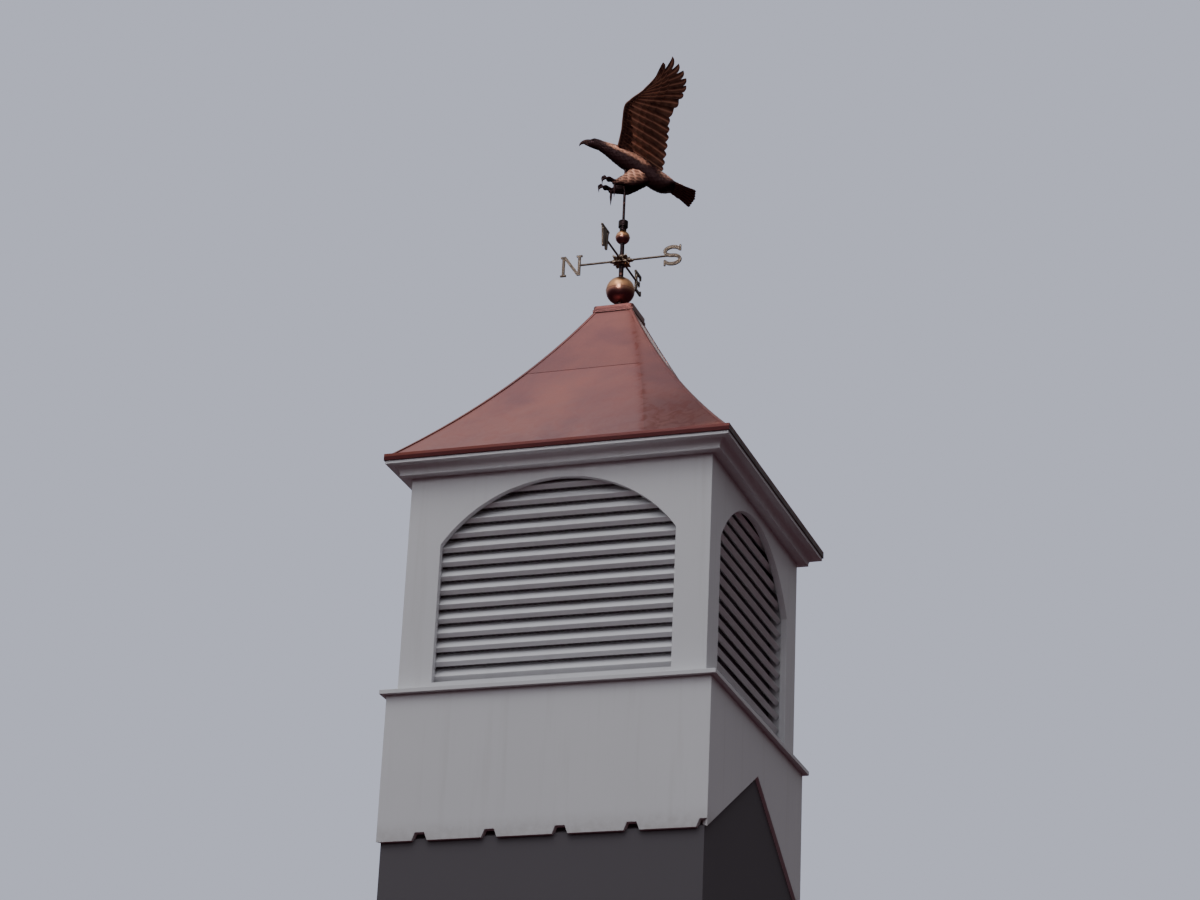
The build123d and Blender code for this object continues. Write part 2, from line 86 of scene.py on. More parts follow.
class CupolaTrimSettings(bpy.types.PropertyGroup):
    edge_round: FloatProperty(name="Edge round", description="Eased edge of the vinyl boards",
                              default=0.0016, **LENGTH)
    blade_thick: FloatProperty(name="Blade thickness", description="Thickness of the louvre board",
                               default=0.0175, **LENGTH)
    blade_round: FloatProperty(name="Blade round", description="Eased corners of a louvre blade",
                               default=0.0016, **LENGTH)
    board_colour: FloatVectorProperty(name="Board", description="White of the vinyl boards",
                                      default=linear("#D9D9DB"), **COLOUR)
    timber_colour: FloatVectorProperty(name="Timber", description="Softwood inside",
                                       default=linear("#9A7B52"), **COLOUR)
    # The screens stand in for the shade seen between the louvre blades
    screen_colour: FloatVectorProperty(name="Screen", description="Grey wire of the insect screens",
                                       default=linear("#9A9094"), **COLOUR)


class CupolaCopperSettings(bpy.types.PropertyGroup):
    lap_level: FloatProperty(name="Lap level", description="Height of the cross lap on each roof side",
                             default=1.700, **LENGTH)
    lap_proud: FloatProperty(name="Lap thickness", description="How far a lapped sheet stands proud",
                             default=0.0008, **LENGTH)
    hip_width: FloatProperty(name="Hip seam width", description="Flange of the hip seam on each side",
                             default=0.009, **LENGTH)
    gore_foot: FloatProperty(name="Corner sheet", description="Half width of the middle sheet at the eave",
                             default=0.297, **LENGTH)
    roof_colour: FloatVectorProperty(name="Roof copper", description="Browned mill finish sheet",
                                     default=linear("#9C665F"), **COLOUR)
    edge_colour: FloatVectorProperty(name="Edge copper", description="Redder folded edge",
                                     default=linear("#70403A"), **COLOUR)
    ball_colour: FloatVectorProperty(name="Ball copper", description="Spun copper of the balls",
                                     default=linear("#B0805A"), **COLOUR)
    brass_colour: FloatVectorProperty(name="Letter brass", description="Cast brass gone olive",
                                      default=linear("#66574B"), **COLOUR)
    rod_colour: FloatVectorProperty(name="Rod bronze", description="Dark bronzed rod",
                                    default=linear("#241A1C"), **COLOUR)


class CupolaEagleSettings(bpy.types.PropertyGroup):
    scale_rows: FloatProperty(name="Body feather length", description="Visible length of a body feather",
                              default=0.0135, **LENGTH)
    scale_relief: FloatProperty(name="Body feather relief", description="How far a body feather stands out",
                                default=0.0014, **LENGTH)
    tail_feathers: IntProperty(name="Tail feathers", description="Feathers in the tail fan",
                               default=7, min=3, max=11)
    dark_colour: FloatVectorProperty(name="Dark copper", description="Browned copper in the hollows",
                                     default=linear("#2B1719"), **COLOUR)
    # This colour also paints the eagle's highlights and its lighter undersides
    rubbed_and_painted_light_colour: FloatVectorProperty(name="Rubbed copper", description="Copper bared on the raised parts",
                                       default=linear("#D69A80"), **COLOUR)


# Finishes

SMOOTH = {"interpolation_type": "SMOOTHSTEP"}
COLOURS = {"data_type": "RGBA"}


def add_node(tree, kind, settings=None, inputs=None):
    """Add a node, set its own settings, and fill each input with a number or a link."""
    node = tree.nodes.new("ShaderNode" + kind)
    for key, value in (settings or {}).items():
        setattr(node, key, value)
    for key, value in (inputs or {}).items():
        if isinstance(value, bpy.types.NodeSocket):
            tree.links.new(value, node.inputs[key])
        else:
            node.inputs[key].default_value = value
    return node


def new_finish(name, roughness, metallic=0.0, **levels):
    """Start a finish and hand back its tree and the place on the object."""
    finish = bpy.data.materials.new(name)
    finish.use_nodes = True
    tree = finish.node_tree
    for key, value in {"Roughness": roughness, "Metallic": metallic, **levels}.items():
        tree.nodes["Principled BSDF"].inputs[key].default_value = value
    return finish, tree, add_node(tree, "TexCoord").outputs["Object"]


def fill_shader(finish, sockets):
    """Link what varies over the surface into the shader of a finish."""
    tree = finish.node_tree
    for key, socket in sockets.items():
        tree.links.new(socket, tree.nodes["Principled BSDF"].inputs[key])
    return finish


def extruded_vinyl(name, colour, streaks):
    # Foamed PVC board, extruded and satin: even white, fine tooth, dust that rain drags down in streaks
    finish, tree, place = new_finish(name, 0.46, IOR=1.53)
    cloud = add_node(tree, "TexNoise", inputs={"Vector": place, "Scale": 2.6, "Detail": 5.0})
    # Streaks are 20 to 40 mm wide and half a metre long
    drawn = add_node(tree, "Mapping", inputs={"Vector": place, "Scale": (30.0, 30.0, 1.6)})
    streak = add_node(tree, "TexNoise", inputs={"Vector": drawn.outputs[0], "Scale": 1.0, "Detail": 4.0})
    streak_mask = add_node(tree, "MapRange", SMOOTH,
                           {"Value": streak.outputs["Fac"], "From Min": 0.52, "From Max": 0.78,
                            "To Max": streaks})
    base = add_node(tree, "Mix", COLOURS,
                    {0: cloud.outputs["Fac"], 6: shade(colour, 0.94), 7: shade(colour, 1.04)})
    dusty = add_node(tree, "Mix", COLOURS,
                     {0: streak_mask.outputs[0], 6: base.outputs[2], 7: shade(linear("#A39F97"))})
    # Splash dirt on the lowest 60 mm of the skirt
    height = add_node(tree, "SeparateXYZ", inputs={0: place})
    speck = add_node(tree, "TexNoise", inputs={"Vector": place, "Scale": 55.0, "Detail": 6.0})
    low = add_node(tree, "MapRange", SMOOTH,
                   {"Value": height.outputs["Z"], "From Min": 0.075, "From Max": 0.0, "To Max": 0.55})
    splash = add_node(tree, "Math", {"operation": "MULTIPLY"}, {0: low.outputs[0], 1: speck.outputs["Fac"]})
    stained = add_node(tree, "Mix", COLOURS,
                       {0: splash.outputs[0], 6: dusty.outputs[2], 7: shade(linear("#8B8378"))})
    gloss = add_node(tree, "MapRange",
                     inputs={"Value": cloud.outputs["Fac"], "To Min": 0.4, "To Max": 0.54})
    # The tooth of the board is 0.5 mm, drawn at 3 mm so that it shows
    tooth = add_node(tree, "TexNoise", inputs={"Vector": place, "Scale": 330.0, "Detail": 3.0})
    bump = add_node(tree, "Bump",
                    inputs={"Strength": 0.16, "Distance": 0.0008, "Height": tooth.outputs["Fac"]})
    return fill_shader(finish, {"Base Color": stained.outputs[2], "Roughness": gloss.outputs[0],
                                "Normal": bump.outputs[0]})


def sawn_softwood(colour):
    # Pine, sawn and unfinished: straight grain 6 mm apart, dull, a little fuzzy
    finish, tree, place = new_finish("sawn_softwood", 0.72, IOR=1.5)
    drawn = add_node(tree, "Mapping", inputs={"Vector": place, "Scale": (1.0, 1.0, 0.12)})
    grain = add_node(tree, "TexWave", None,
                     {"Vector": drawn.outputs[0], "Scale": 26.0, "Distortion": 5.0, "Detail": 3.0})
    mix = add_node(tree, "Mix", COLOURS,
                   {0: grain.outputs["Fac"], 6: shade(colour, 0.62), 7: shade(colour, 1.1)})
    bump = add_node(tree, "Bump",
                    inputs={"Strength": 0.3, "Distance": 0.0006, "Height": grain.outputs["Fac"]})
    return fill_shader(finish, {"Base Color": mix.outputs[2], "Normal": bump.outputs[0]})


def mill_copper_sheet(name, colour, tarnish, fold=None):
    # Copper sheet, cold rolled, a season outdoors: pinkish brown, semi-gloss, browner in clouds
    finish, tree, place = new_finish(name, 0.36, metallic=1.0)
    # Brown clouds 200 to 400 mm across, blotches from hands 30 mm across
    cloud = add_node(tree, "TexNoise",
                     inputs={"Vector": place, "Scale": 3.4, "Detail": 5.0, "Distortion": 0.4})
    blotch = add_node(tree, "TexNoise",
                      inputs={"Vector": place, "Scale": 21.0, "Detail": 4.0, "Distortion": 1.2})
    brown = add_node(tree, "MapRange", SMOOTH,
                     {"Value": cloud.outputs["Fac"], "From Min": 0.34, "From Max": 0.7, "To Max": tarnish})
    base = add_node(tree, "Mix", COLOURS,
                    {0: brown.outputs[0], 6: shade(colour), 7: shade(linear("#7C5558"))})
    handled = add_node(tree, "Attribute", {"attribute_name": "handled"})
    spots = add_node(tree, "MapRange", SMOOTH,
                     {"Value": blotch.outputs["Fac"], "From Min": 0.45, "From Max": 0.62})
    partly = add_node(tree, "Math", {"operation": "MULTIPLY_ADD"}, {0: spots.outputs[0], 1: 0.6, 2: 0.4})
    marked = add_node(tree, "Math", {"operation": "MULTIPLY"},
                      {0: partly.outputs[0], 1: handled.outputs["Fac"]})
    stained = add_node(tree, "Mix", COLOURS,
                       {0: marked.outputs[0], 6: base.outputs[2], 7: shade(linear("#74362D"))})
    if fold:
        # Below the fold level the edge is painted dark red as painted shade, standing in for the dark it
        # reflects
        level = add_node(tree, "SeparateXYZ", inputs={0: place}).outputs["Z"]
        under = add_node(tree, "MapRange", SMOOTH,
                         {"Value": level, "From Min": fold + 0.0015, "From Max": fold - 0.0015,
                          "To Max": 0.88})
        stained = add_node(tree, "Mix", COLOURS,
                           {0: under.outputs[0], 6: stained.outputs[2], 7: shade(linear("#3E1E20"))})
    tone = add_node(tree, "Attribute", {"attribute_name": "sheet_tone"})
    toned = add_node(tree, "Mix", {**COLOURS, "blend_type": "MULTIPLY"},
                     {0: 1.0, 6: stained.outputs[2], 7: tone.outputs["Color"]})
    gloss = add_node(tree, "MapRange",
                     inputs={"Value": blotch.outputs["Fac"], "From Min": 0.3, "From Max": 0.7,
                             "To Min": 0.3, "To Max": 0.44})
    # Oil canning, soft waves 120 to 200 mm apart, over fine roll marks drawn at 4 mm
    waves = add_node(tree, "TexNoise", inputs={"Vector": place, "Scale": 6.5, "Detail": 2.0})
    marks = add_node(tree, "TexNoise", inputs={"Vector": place, "Scale": 240.0, "Detail": 2.0})
    soft = add_node(tree, "Bump",
                    inputs={"Strength": 0.16, "Distance": 0.012, "Height": waves.outputs["Fac"]})
    bump = add_node(tree, "Bump",
                    inputs={"Strength": 0.05, "Distance": 0.0006, "Height": marks.outputs["Fac"],
                            "Normal": soft.outputs[0]})
    return fill_shader(finish, {"Base Color": toned.outputs[2], "Roughness": gloss.outputs[0],
                                "Normal": bump.outputs[0]})


def spun_copper(colour):
    # Copper balls, spun: soft shine and faint rings, the top painted golden as a painted highlight and the
    # lower half painted brown as painted shade
    finish, tree, place = new_finish("spun_copper", 0.3, metallic=1.0)
    facing = add_node(tree, "TexCoord").outputs["Normal"]
    height = add_node(tree, "SeparateXYZ", inputs={0: facing}).outputs["Z"]
    cloud = add_node(tree, "TexNoise", inputs={"Vector": place, "Scale": 28.0, "Detail": 5.0})
    ragged = add_node(tree, "Math", {"operation": "MULTIPLY_ADD"},
                      {0: cloud.outputs["Fac"], 1: 0.5, 2: height})
    painted_light_and_shade = add_node(tree, "MapRange", SMOOTH,
                      {"Value": ragged.outputs[0], "From Min": -0.3, "From Max": 0.6})
    base = add_node(tree, "Mix", COLOURS,
                    {0: painted_light_and_shade.outputs[0], 6: shade(linear("#8A5A5E")), 7: shade(colour, 1.2)})
    # Spinning rings are under 1 mm apart, drawn at 3 mm
    rings = add_node(tree, "TexWave", {"bands_direction": "Z"},
                     {"Vector": place, "Scale": 52.0, "Distortion": 0.6})
    bump = add_node(tree, "Bump",
                    inputs={"Strength": 0.05, "Distance": 0.0004, "Height": rings.outputs["Fac"]})
    return fill_shader(finish, {"Base Color": base.outputs[2], "Normal": bump.outputs[0]})


def cast_brass(name, colour):
    # Brass, sand cast and weathered: olive, dull, grainy, darker in the pits
    finish, tree, place = new_finish(name, 0.5, metallic=0.6)
    grit = add_node(tree, "TexNoise", inputs={"Vector": place, "Scale": 160.0, "Detail": 4.0})
    cloud = add_node(tree, "TexNoise", inputs={"Vector": place, "Scale": 34.0, "Detail": 4.0})
    base = add_node(tree, "Mix", COLOURS,
                    {0: cloud.outputs["Fac"], 6: shade(colour, 0.45), 7: shade(colour, 1.35)})
    bump = add_node(tree, "Bump",
                    inputs={"Strength": 0.35, "Distance": 0.0006, "Height": grit.outputs["Fac"]})
    return fill_shader(finish, {"Base Color": base.outputs[2], "Normal": bump.outputs[0]})


def bronzed_steel(colour):
    # Steel rod, drawn and oil bronzed: near black with brown rub marks along it
    finish, tree, place = new_finish("bronzed_steel", 0.42, metallic=0.85, **{"Specular IOR Level": 0.15})
    rubs = add_node(tree, "TexNoise", inputs={"Vector": place, "Scale": 70.0, "Detail": 4.0})
    mask = add_node(tree, "MapRange", SMOOTH,
                    {"Value": rubs.outputs["Fac"], "From Min": 0.5, "From Max": 0.75})
    base = add_node(tree, "Mix", COLOURS,
                    {0: mask.outputs[0], 6: shade(colour), 7: shade(linear("#553630"))})
    return fill_shader(finish, {"Base Color": base.outputs[2]})


def painted_shade_screen(colour):
    # Aluminium insect screen, woven and gone grey, standing in for the shade between the louvre blades: wires
    # 1.4 mm apart, drawn 6 mm apart so that they show
    finish, tree, place = new_finish("painted_shade_screen", 0.6, metallic=0.4)
    weaves = []
    for way, scale in (("DIAGONAL", 30.0), ("Z", 52.0)):
        weave = add_node(tree, "TexWave", {"bands_direction": way}, {"Vector": place, "Scale": scale})
        weaves.append(weave.outputs["Fac"])
    wires = add_node(tree, "Math", {"operation": "MAXIMUM"}, dict(enumerate(weaves)))
    base = add_node(tree, "Mix", COLOURS, {0: wires.outputs[0], 6: shade(colour, 0.5), 7: shade(colour)})
    bump = add_node(tree, "Bump", inputs={"Strength": 0.4, "Distance": 0.0008, "Height": wires.outputs[0]})
    return fill_shader(finish, {"Base Color": base.outputs[2], "Normal": bump.outputs[0]})


def antiqued_copper(dark, rubbed_and_painted_light):
    # Copper, hammered over a form and chemically browned: dull dark hollows and bared crests that shine. The
    # rubbed colour also paints highlights on the body, thighs and upper faces and lightens the undersides, as
    # painted light
    finish, tree, place = new_finish("antiqued_copper", 0.4, metallic=0.9, **{"Specular IOR Level": 0.12})
    worn = add_node(tree, "Attribute", {"attribute_name": "rubbed_and_painted_light"})
    cloud = add_node(tree, "TexNoise", inputs={"Vector": place, "Scale": 42.0, "Detail": 5.0})
    uneven = add_node(tree, "Math", {"operation": "MULTIPLY_ADD"},
                      {0: cloud.outputs["Fac"], 1: 0.24, 2: -0.12})
    amount = add_node(tree, "Math", {"operation": "ADD", "use_clamp": True},
                      {0: worn.outputs["Fac"], 1: uneven.outputs[0]})
    shown = add_node(tree, "MapRange", SMOOTH,
                     {"Value": amount.outputs[0], "From Min": 0.06, "From Max": 0.8})
    base = add_node(tree, "Mix", COLOURS, {0: shown.outputs[0], 6: shade(dark), 7: shade(rubbed_and_painted_light)})
    # The brown skin is an oxide, so it is only part metal and duller, and the bared copper is hazy
    shine = add_node(tree, "MapRange", inputs={"Value": amount.outputs[0], "To Min": 0.3, "To Max": 0.5})
    dull = add_node(tree, "MapRange", inputs={"Value": amount.outputs[0], "To Min": 0.52, "To Max": 0.38})
    # Barbs 2 mm apart
    along = add_node(tree, "UVMap", {"uv_map": "along"}).outputs[0]
    barbs = add_node(tree, "TexWave", {"bands_direction": "X"},
                     {"Vector": along, "Scale": 1.0, "Distortion": 1.0, "Detail": 1.0})
    bump = add_node(tree, "Bump",
                    inputs={"Strength": 0.25, "Distance": 0.0006, "Height": barbs.outputs["Fac"]})
    return fill_shader(finish, {"Base Color": base.outputs[2], "Metallic": shine.outputs[0],
                                "Roughness": dull.outputs[0], "Normal": bump.outputs[0]})


def matt_backdrop(name, code):
    # Matt painted studio board: no gloss, only the faintest unevenness of a rolled coat
    finish, tree, place = new_finish(name, 0.9, IOR=1.45)
    coat = add_node(tree, "TexNoise", inputs={"Vector": place, "Scale": 0.7, "Detail": 2.0})
    base = add_node(tree, "Mix", COLOURS,
                    {0: coat.outputs["Fac"], 6: shade(linear(code), 0.98), 7: shade(linear(code), 1.02)})
    return fill_shader(finish, {"Base Color": base.outputs[2]})


# Shared mesh work

def dress(name, finish, ease=0.0):
    """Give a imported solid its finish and, where it has one, its eased edges."""
    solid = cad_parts[name]
    if not solid.material_slots:
        solid.data.materials.append(finish)
    for place in solid.material_slots:
        place.link = "OBJECT"
        place.material = finish
    if ease:
        weld = solid.modifiers.new("joined_corners", "WELD")
        weld.merge_threshold = 0.00002
        bevel = solid.modifiers.new("eased_edges", "BEVEL")
        bevel.width = ease
        bevel.segments = 3
        bevel.limit_method = "ANGLE"
        bevel.angle_limit = math.radians(35)
        bevel.harden_normals = True
    return solid


def set_tone(piece, tones):
    """Store the tone of the sheet at each point, or one tone for all."""
    layer = piece.data.attributes.new("sheet_tone", "FLOAT_COLOR", "POINT")
    for number, spot in enumerate(layer.data):
        spot.color = (*tones[number % len(tones)], 1.0)


def circle(radius, count):
    """Give the spots of a circle as pairs of across and up."""
    turns = [math.tau * step / count for step in range(count)]
    return [(radius * math.cos(turn), radius * math.sin(turn)) for turn in turns]


class Shape:
    """Rings of spots gathered into one mesh. A spot is a point, or a point, its value and its place along."""

    def __init__(self):
        self.spots = []
        self.faces = []

    def add_rings(self, rings, ends=True, value=0.0):
        """Skin a row of rings and close its ends."""
        start, wide = len(self.spots), len(rings[0])
        for ring in rings:
            self.spots += [spot if isinstance(spot, tuple) else (spot, value, (0.0, 0.0)) for spot in ring]
        last = len(self.spots) - wide
        for low in range(start, last, wide):
            for column in range(wide):
                after = (column + 1) % wide
                self.faces.append((low + column, low + after, low + wide + after, low + wide + column))
        if ends:
            self.faces.append(tuple(range(start, start + wide)))
            self.faces.append(tuple(reversed(range(last, last + wide))))

    def finish_piece(self, name, finish, body, slot, stands_for=(), sharp=40, tones=None):
        """Make the mesh with its values and attach it to its body. A copper sheet also takes its tones."""
        mesh = bpy.data.meshes.new(name)
        mesh.from_pydata([tuple(spot[0]) for spot in self.spots], [], self.faces)
        work = bmesh.new()
        work.from_mesh(mesh)
        bmesh.ops.recalc_face_normals(work, faces=work.faces)
        work.to_mesh(mesh)
        work.free()
        # On the eagle these values hold wear and painted highlights
        layer = mesh.attributes.new("handled" if tones else "rubbed_and_painted_light", "FLOAT", "POINT")
        layer.data.foreach_set("value", [spot[1] for spot in self.spots])
        along = mesh.uv_layers.new(name="along")
        for loop in mesh.loops:
            along.data[loop.index].uv = self.spots[loop.vertex_index][2]
        mesh.shade_smooth()
        mesh.set_sharp_from_angle(angle=math.radians(sharp))
        mesh.materials.append(finish)
        piece = bpy.data.objects.new(name, mesh)
        bpy.context.scene.collection.objects.link(piece)
        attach(piece, body)
        if stands_for:
            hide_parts(*stands_for)
        if tones:
            set_tone(piece, tones)


def smooth_between(table, at):
    """Read a table of rows by its first column, with a smooth curve through the rest."""
    keys = [row[0] for row in table]
    if at <= keys[0]:
        return table[0][1:]
    if at >= keys[-1]:
        return table[-1][1:]
    low = max(number for number in range(len(keys) - 1) if keys[number] <= at)
    before, first = table[max(low - 1, 0)], table[low]
    second, after = table[low + 1], table[min(low + 2, len(table) - 1)]
    part = (at - first[0]) / (second[0] - first[0])
    return [0.5 * (2 * b + (c - a) * part + (2 * a - 5 * b + 4 * c - d) * part**2
                   + (3 * b - a - 3 * c + d) * part**3)
            for a, b, c, d in list(zip(before, first, second, after))[1:]]


def feather_scale(along, around):
    """Relief from 0 to 1 of overlapping rounded feathers, one unit long and one unit wide."""
    row = math.floor(along) - 1
    while True:
        cell = (around + 0.5 * (row % 2)) % 1.0 - 0.5
        tip = row + 0.95 - 2.2 * cell**2
        if along <= tip:
            break
        row += 1
    part = clip((along - tip + 1.2) / 1.2)
    return part**1.6 + 0.22 * bell(cell, 0.07) * part


# Trim boards and louvres

class CUPOLA_OT_trim(bpy.types.Operator):
    """Dress the skirt, sill, arched panels and crown moulding in extruded vinyl"""
    bl_idname = "cupola.trim"
    bl_label = "Vinyl trim"

    def execute(self, context):
        trim = context.scene.cupola_trim
        board = extruded_vinyl("extruded_vinyl_board", trim.board_colour, 0.14)
        for side in SIDES:
            for name in ("base_" + side, side + "_sill", side + "_panel"):
                dress(name, board, trim.edge_round)
            dress(side + "_crown", board, trim.edge_round * 0.6)
        return {"FINISHED"}


def rounded(corners, radius, steps=4):
    """Round the corners of a flat outline."""
    outline = []
    for number, corner in enumerate(corners):
        before, after = corners[number - 1], corners[(number + 1) % len(corners)]
        first, last = (before - corner).normalized() * radius, (after - corner).normalized() * radius
        for step in range(steps + 1):
            part = step / steps
            outline.append(corner + first * (1 - part) ** 2 + last * part**2)
    return outline


class CUPOLA_OT_louvres(bpy.types.Operator):
    """Cut the sloping louvre blades square from thick board and dress the stiles that hold them"""
    bl_idname = "cupola.louvres"
    bl_label = "Louvre blades"

    def execute(self, context):
        trim = context.scene.cupola_trim
        vinyl = extruded_vinyl("extruded_vinyl_blade", [part * 1.04 for part in trim.board_colour], 0.12)
        low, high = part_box("front_louvre")
        count, spans, nose, inset, foot = 14, 8, 0.013, 0.007, -0.012
        deep = high.y - low.y
        pitch = (high.z - low.z - nose - deep - 2 * inset) / (count - 1)
        # Cut square across, the lower edge stands back from the nose
        cut = trim.blade_thick * math.sqrt(0.5)
        face = [Vector((cut, nose - cut)), Vector((0, nose)), Vector((deep, nose + deep))]
        section = rounded(face + [Vector((deep, nose + deep - 2 * cut))], trim.blade_round)
        # A foot under the lowest blade closes the opening behind the rail
        lowest = rounded(face + [Vector((deep, foot)), Vector((cut, foot))], trim.blade_round)
        for side, turned in SIDES.items():
            shape = Shape()
            for number in range(count):
                rings = []
                for step in range(spans + 1):
                    across = low.x + (high.x - low.x) * step / spans
                    sag = 0.0004 * math.sin(math.pi * step / spans) * (1 + 0.5 * math.sin(number * 2.4))
                    level = low.z + inset + number * pitch + sag
                    rings.append([turned @ Vector((across, low.y + spot.x, level + spot.y))
                                  for spot in (section if number else lowest)])
                shape.add_rings(rings)
            shape.finish_piece("louvre_blades_" + side, vinyl, "cupola", "white_trim", (side + "_louvre",))
        dress("louvre_stiles", vinyl, trim.edge_round)
        return {"FINISHED"}


class CUPOLA_OT_screens(bpy.types.Operator):
    """Stretch a grey insect screen behind each louvre, a sheet that stands in for the shade between the
    blades
    """
    bl_idname = "cupola.screens"
    bl_label = "Insect screens"

    def execute(self, context):
        woven = painted_shade_screen(context.scene.cupola_trim.screen_colour)
        louvre, sill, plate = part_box("front_louvre")[1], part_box("front_sill")[1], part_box("top_plate")[0]
        half, behind, gap, thick, steps = louvre.x + 0.017, louvre.y + 0.0024, 0.0005, 0.0006, 24
        shape = Shape()
        for turned in QUARTERS:
            rings = []
            for step in range(steps + 1):
                level = sill.z + gap + (plate.z - sill.z - 2 * gap) * step / steps
                face = []
                for column in range(steps + 1):
                    across = 2 * column / steps - 1
                    slack = 0.0012 * math.sin(7 * across) * math.sin(math.pi * step / steps)
                    face.append(Vector((half * across, behind + slack, level)))
                back = [spot + Vector((0, thick, 0)) for spot in reversed(face)]
                rings.append([turned @ spot for spot in face + back])
            shape.add_rings(rings)
        shape.finish_piece("shade_screens", woven, "cupola", "dark_rod")
        return {"FINISHED"}


class CUPOLA_OT_framing(bpy.types.Operator):
    """Dress the hidden posts, plate and peak block in sawn softwood"""
    bl_idname = "cupola.framing"
    bl_label = "Inside framing"

    def execute(self, context):
        timber = sawn_softwood(context.scene.cupola_trim.timber_colour)
        for name in ("base_corner_posts", "top_plate", "peak_block"):
            dress(name, timber, 0.001)
        return {"FINISHED"}


# Copper roof

# Half width of the copper at the cap, sag of the sweep and thickness of a sheet
ROOF_TOP_HALF, ROOF_SAG, SHEET = 0.066, 0.029, 0.0012


def roof_curve():
    """Give the foot and head of the roof's side, and its half width at a height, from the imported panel."""
    low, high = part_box("front_roof")
    foot, head = Vector((-low.y, low.z)), Vector((ROOF_TOP_HALF, high.z))
    chord = head - foot
    radius = (chord.length**2 / 4 + ROOF_SAG**2) / (2 * ROOF_SAG)
    centre = (foot + head) / 2 + Vector((chord.y, -chord.x)).normalized() * (radius - ROOF_SAG)
    return foot, head, lambda level: centre.x - math.sqrt(radius**2 - (level - centre.y) ** 2)


def roof_point(half_width, across, level, lift):
    """Place a spot of the front roof side, lifted square to the sheet."""
    slope = (half_width(level + 0.001) - half_width(level - 0.001)) / 0.002
    return Vector((across, -half_width(level), level)) + Vector((0, -1, -slope)).normalized() * lift


class CUPOLA_OT_roof(bpy.types.Operator):
    """Lay the swept copper sheets with their laps and hip seams"""
    bl_idname = "cupola.roof"
    bl_label = "Copper roof"

    def execute(self, context):
        copper = context.scene.cupola_copper
        sheet = mill_copper_sheet("mill_copper_sheet", copper.roof_colour, 0.75)
        foot, head, half_width = roof_curve()
        lap, proud, overlap = copper.lap_level, copper.lap_proud, 0.02
        steps, columns = 60, 48

        def gore_line(level):
            part = (head.y - level) / (head.y - foot.y)
            return head.x - 0.0006 + (copper.gore_foot - head.x) * part

        def hip(level):
            return half_width(level) - 0.0005

        def handled(across, level):
            """Tell how far solder and hands stained the sheet, along the seam and low in the corner."""
            past = across - gore_line(level)
            corner = clip((foot.y + 0.25 - level) / 0.14, past / 0.03)
            return min(1.0, 0.8 * bell(past, 0.012) + 0.75 * corner)

        def painted_light_and_wear(across, level):
            """Tell how bright the painted highlight is at the foot of the corner, where the flared sheet
            catches the light.
            """
            return 0.9 * bell(half_width(level) - across, 0.1) * bell(level - foot.y, 0.016)

        def lay_sheet(shape, turned, low, high, left, right, lift, tone):
            """Lay one sheet between two edges. Its place along holds its tone and its painted highlight."""
            rings = []
            for step in range(steps + 1):
                level = low + (high - low) * (step / steps) ** 1.25
                start, end = left(level), right(level)
                spread = [start + (end - start) * column / columns for column in range(columns + 1)]
                faces = ((lift, spread), (lift - SHEET, spread[::-1]))
                rings.append([(turned @ roof_point(half_width, across, level, over), handled(across, level),
                               (tone, painted_light_and_wear(across, level))) for over, row in faces for across in row])
            shape.add_rings(rings)

        for side, turned in SIDES.items():
            shape = Shape()
            lay_sheet(shape, turned, foot.y, lap, lambda level: -hip(level),
                      lambda level: gore_line(level) + 0.02 * (head.y - level), 0.0, 1.0)
            lay_sheet(shape, turned, lap - overlap, head.y, lambda level: -hip(level), gore_line, proud, 0.9)
            lay_sheet(shape, turned, foot.y + 0.0005, head.y, gore_line, hip, proud * 1.6, 0.86)
            # The tones add the painted highlight at the foot of each corner
            shape.finish_piece("roof_sheets_" + side, sheet, "cupola", "roof_copper", (side + "_roof",),
                               tones=[(tone + shine, tone * 0.98 + shine * 0.75, tone * 0.97 + shine * 0.4)
                                      for point, stain, (tone, shine) in shape.spots])

        def mirror(spot):
            return Vector((-spot.y, -spot.x, spot.z))

        # Hip seams, a folded strip lying over both sheets
        seams = Shape()
        for turned in QUARTERS:
            rings = []
            for step in range(steps + 1):
                level = foot.y + 0.001 + (head.y - foot.y - 0.002) * step / steps
                half = half_width(level)
                flange = min(copper.hip_width, half * 0.4)
                inner = roof_point(half_width, half - flange, level, 0.0004)
                outer = [roof_point(half_width, half - flange, level, 0.0024),
                         roof_point(half_width, half - flange * 0.3, level, 0.0030)]
                ring = [*outer, Vector((half + 0.0020, -half - 0.0020, level)), *map(mirror, reversed(outer)),
                        mirror(inner), Vector((half - 0.002, -half + 0.002, level)), inner]
                rings.append([turned @ spot for spot in ring])
            seams.add_rings(rings)
        seams.finish_piece("roof_hip_seams", sheet, "cupola", "roof_copper", tones=[(0.86, 0.82, 0.8)])
        return {"FINISHED"}


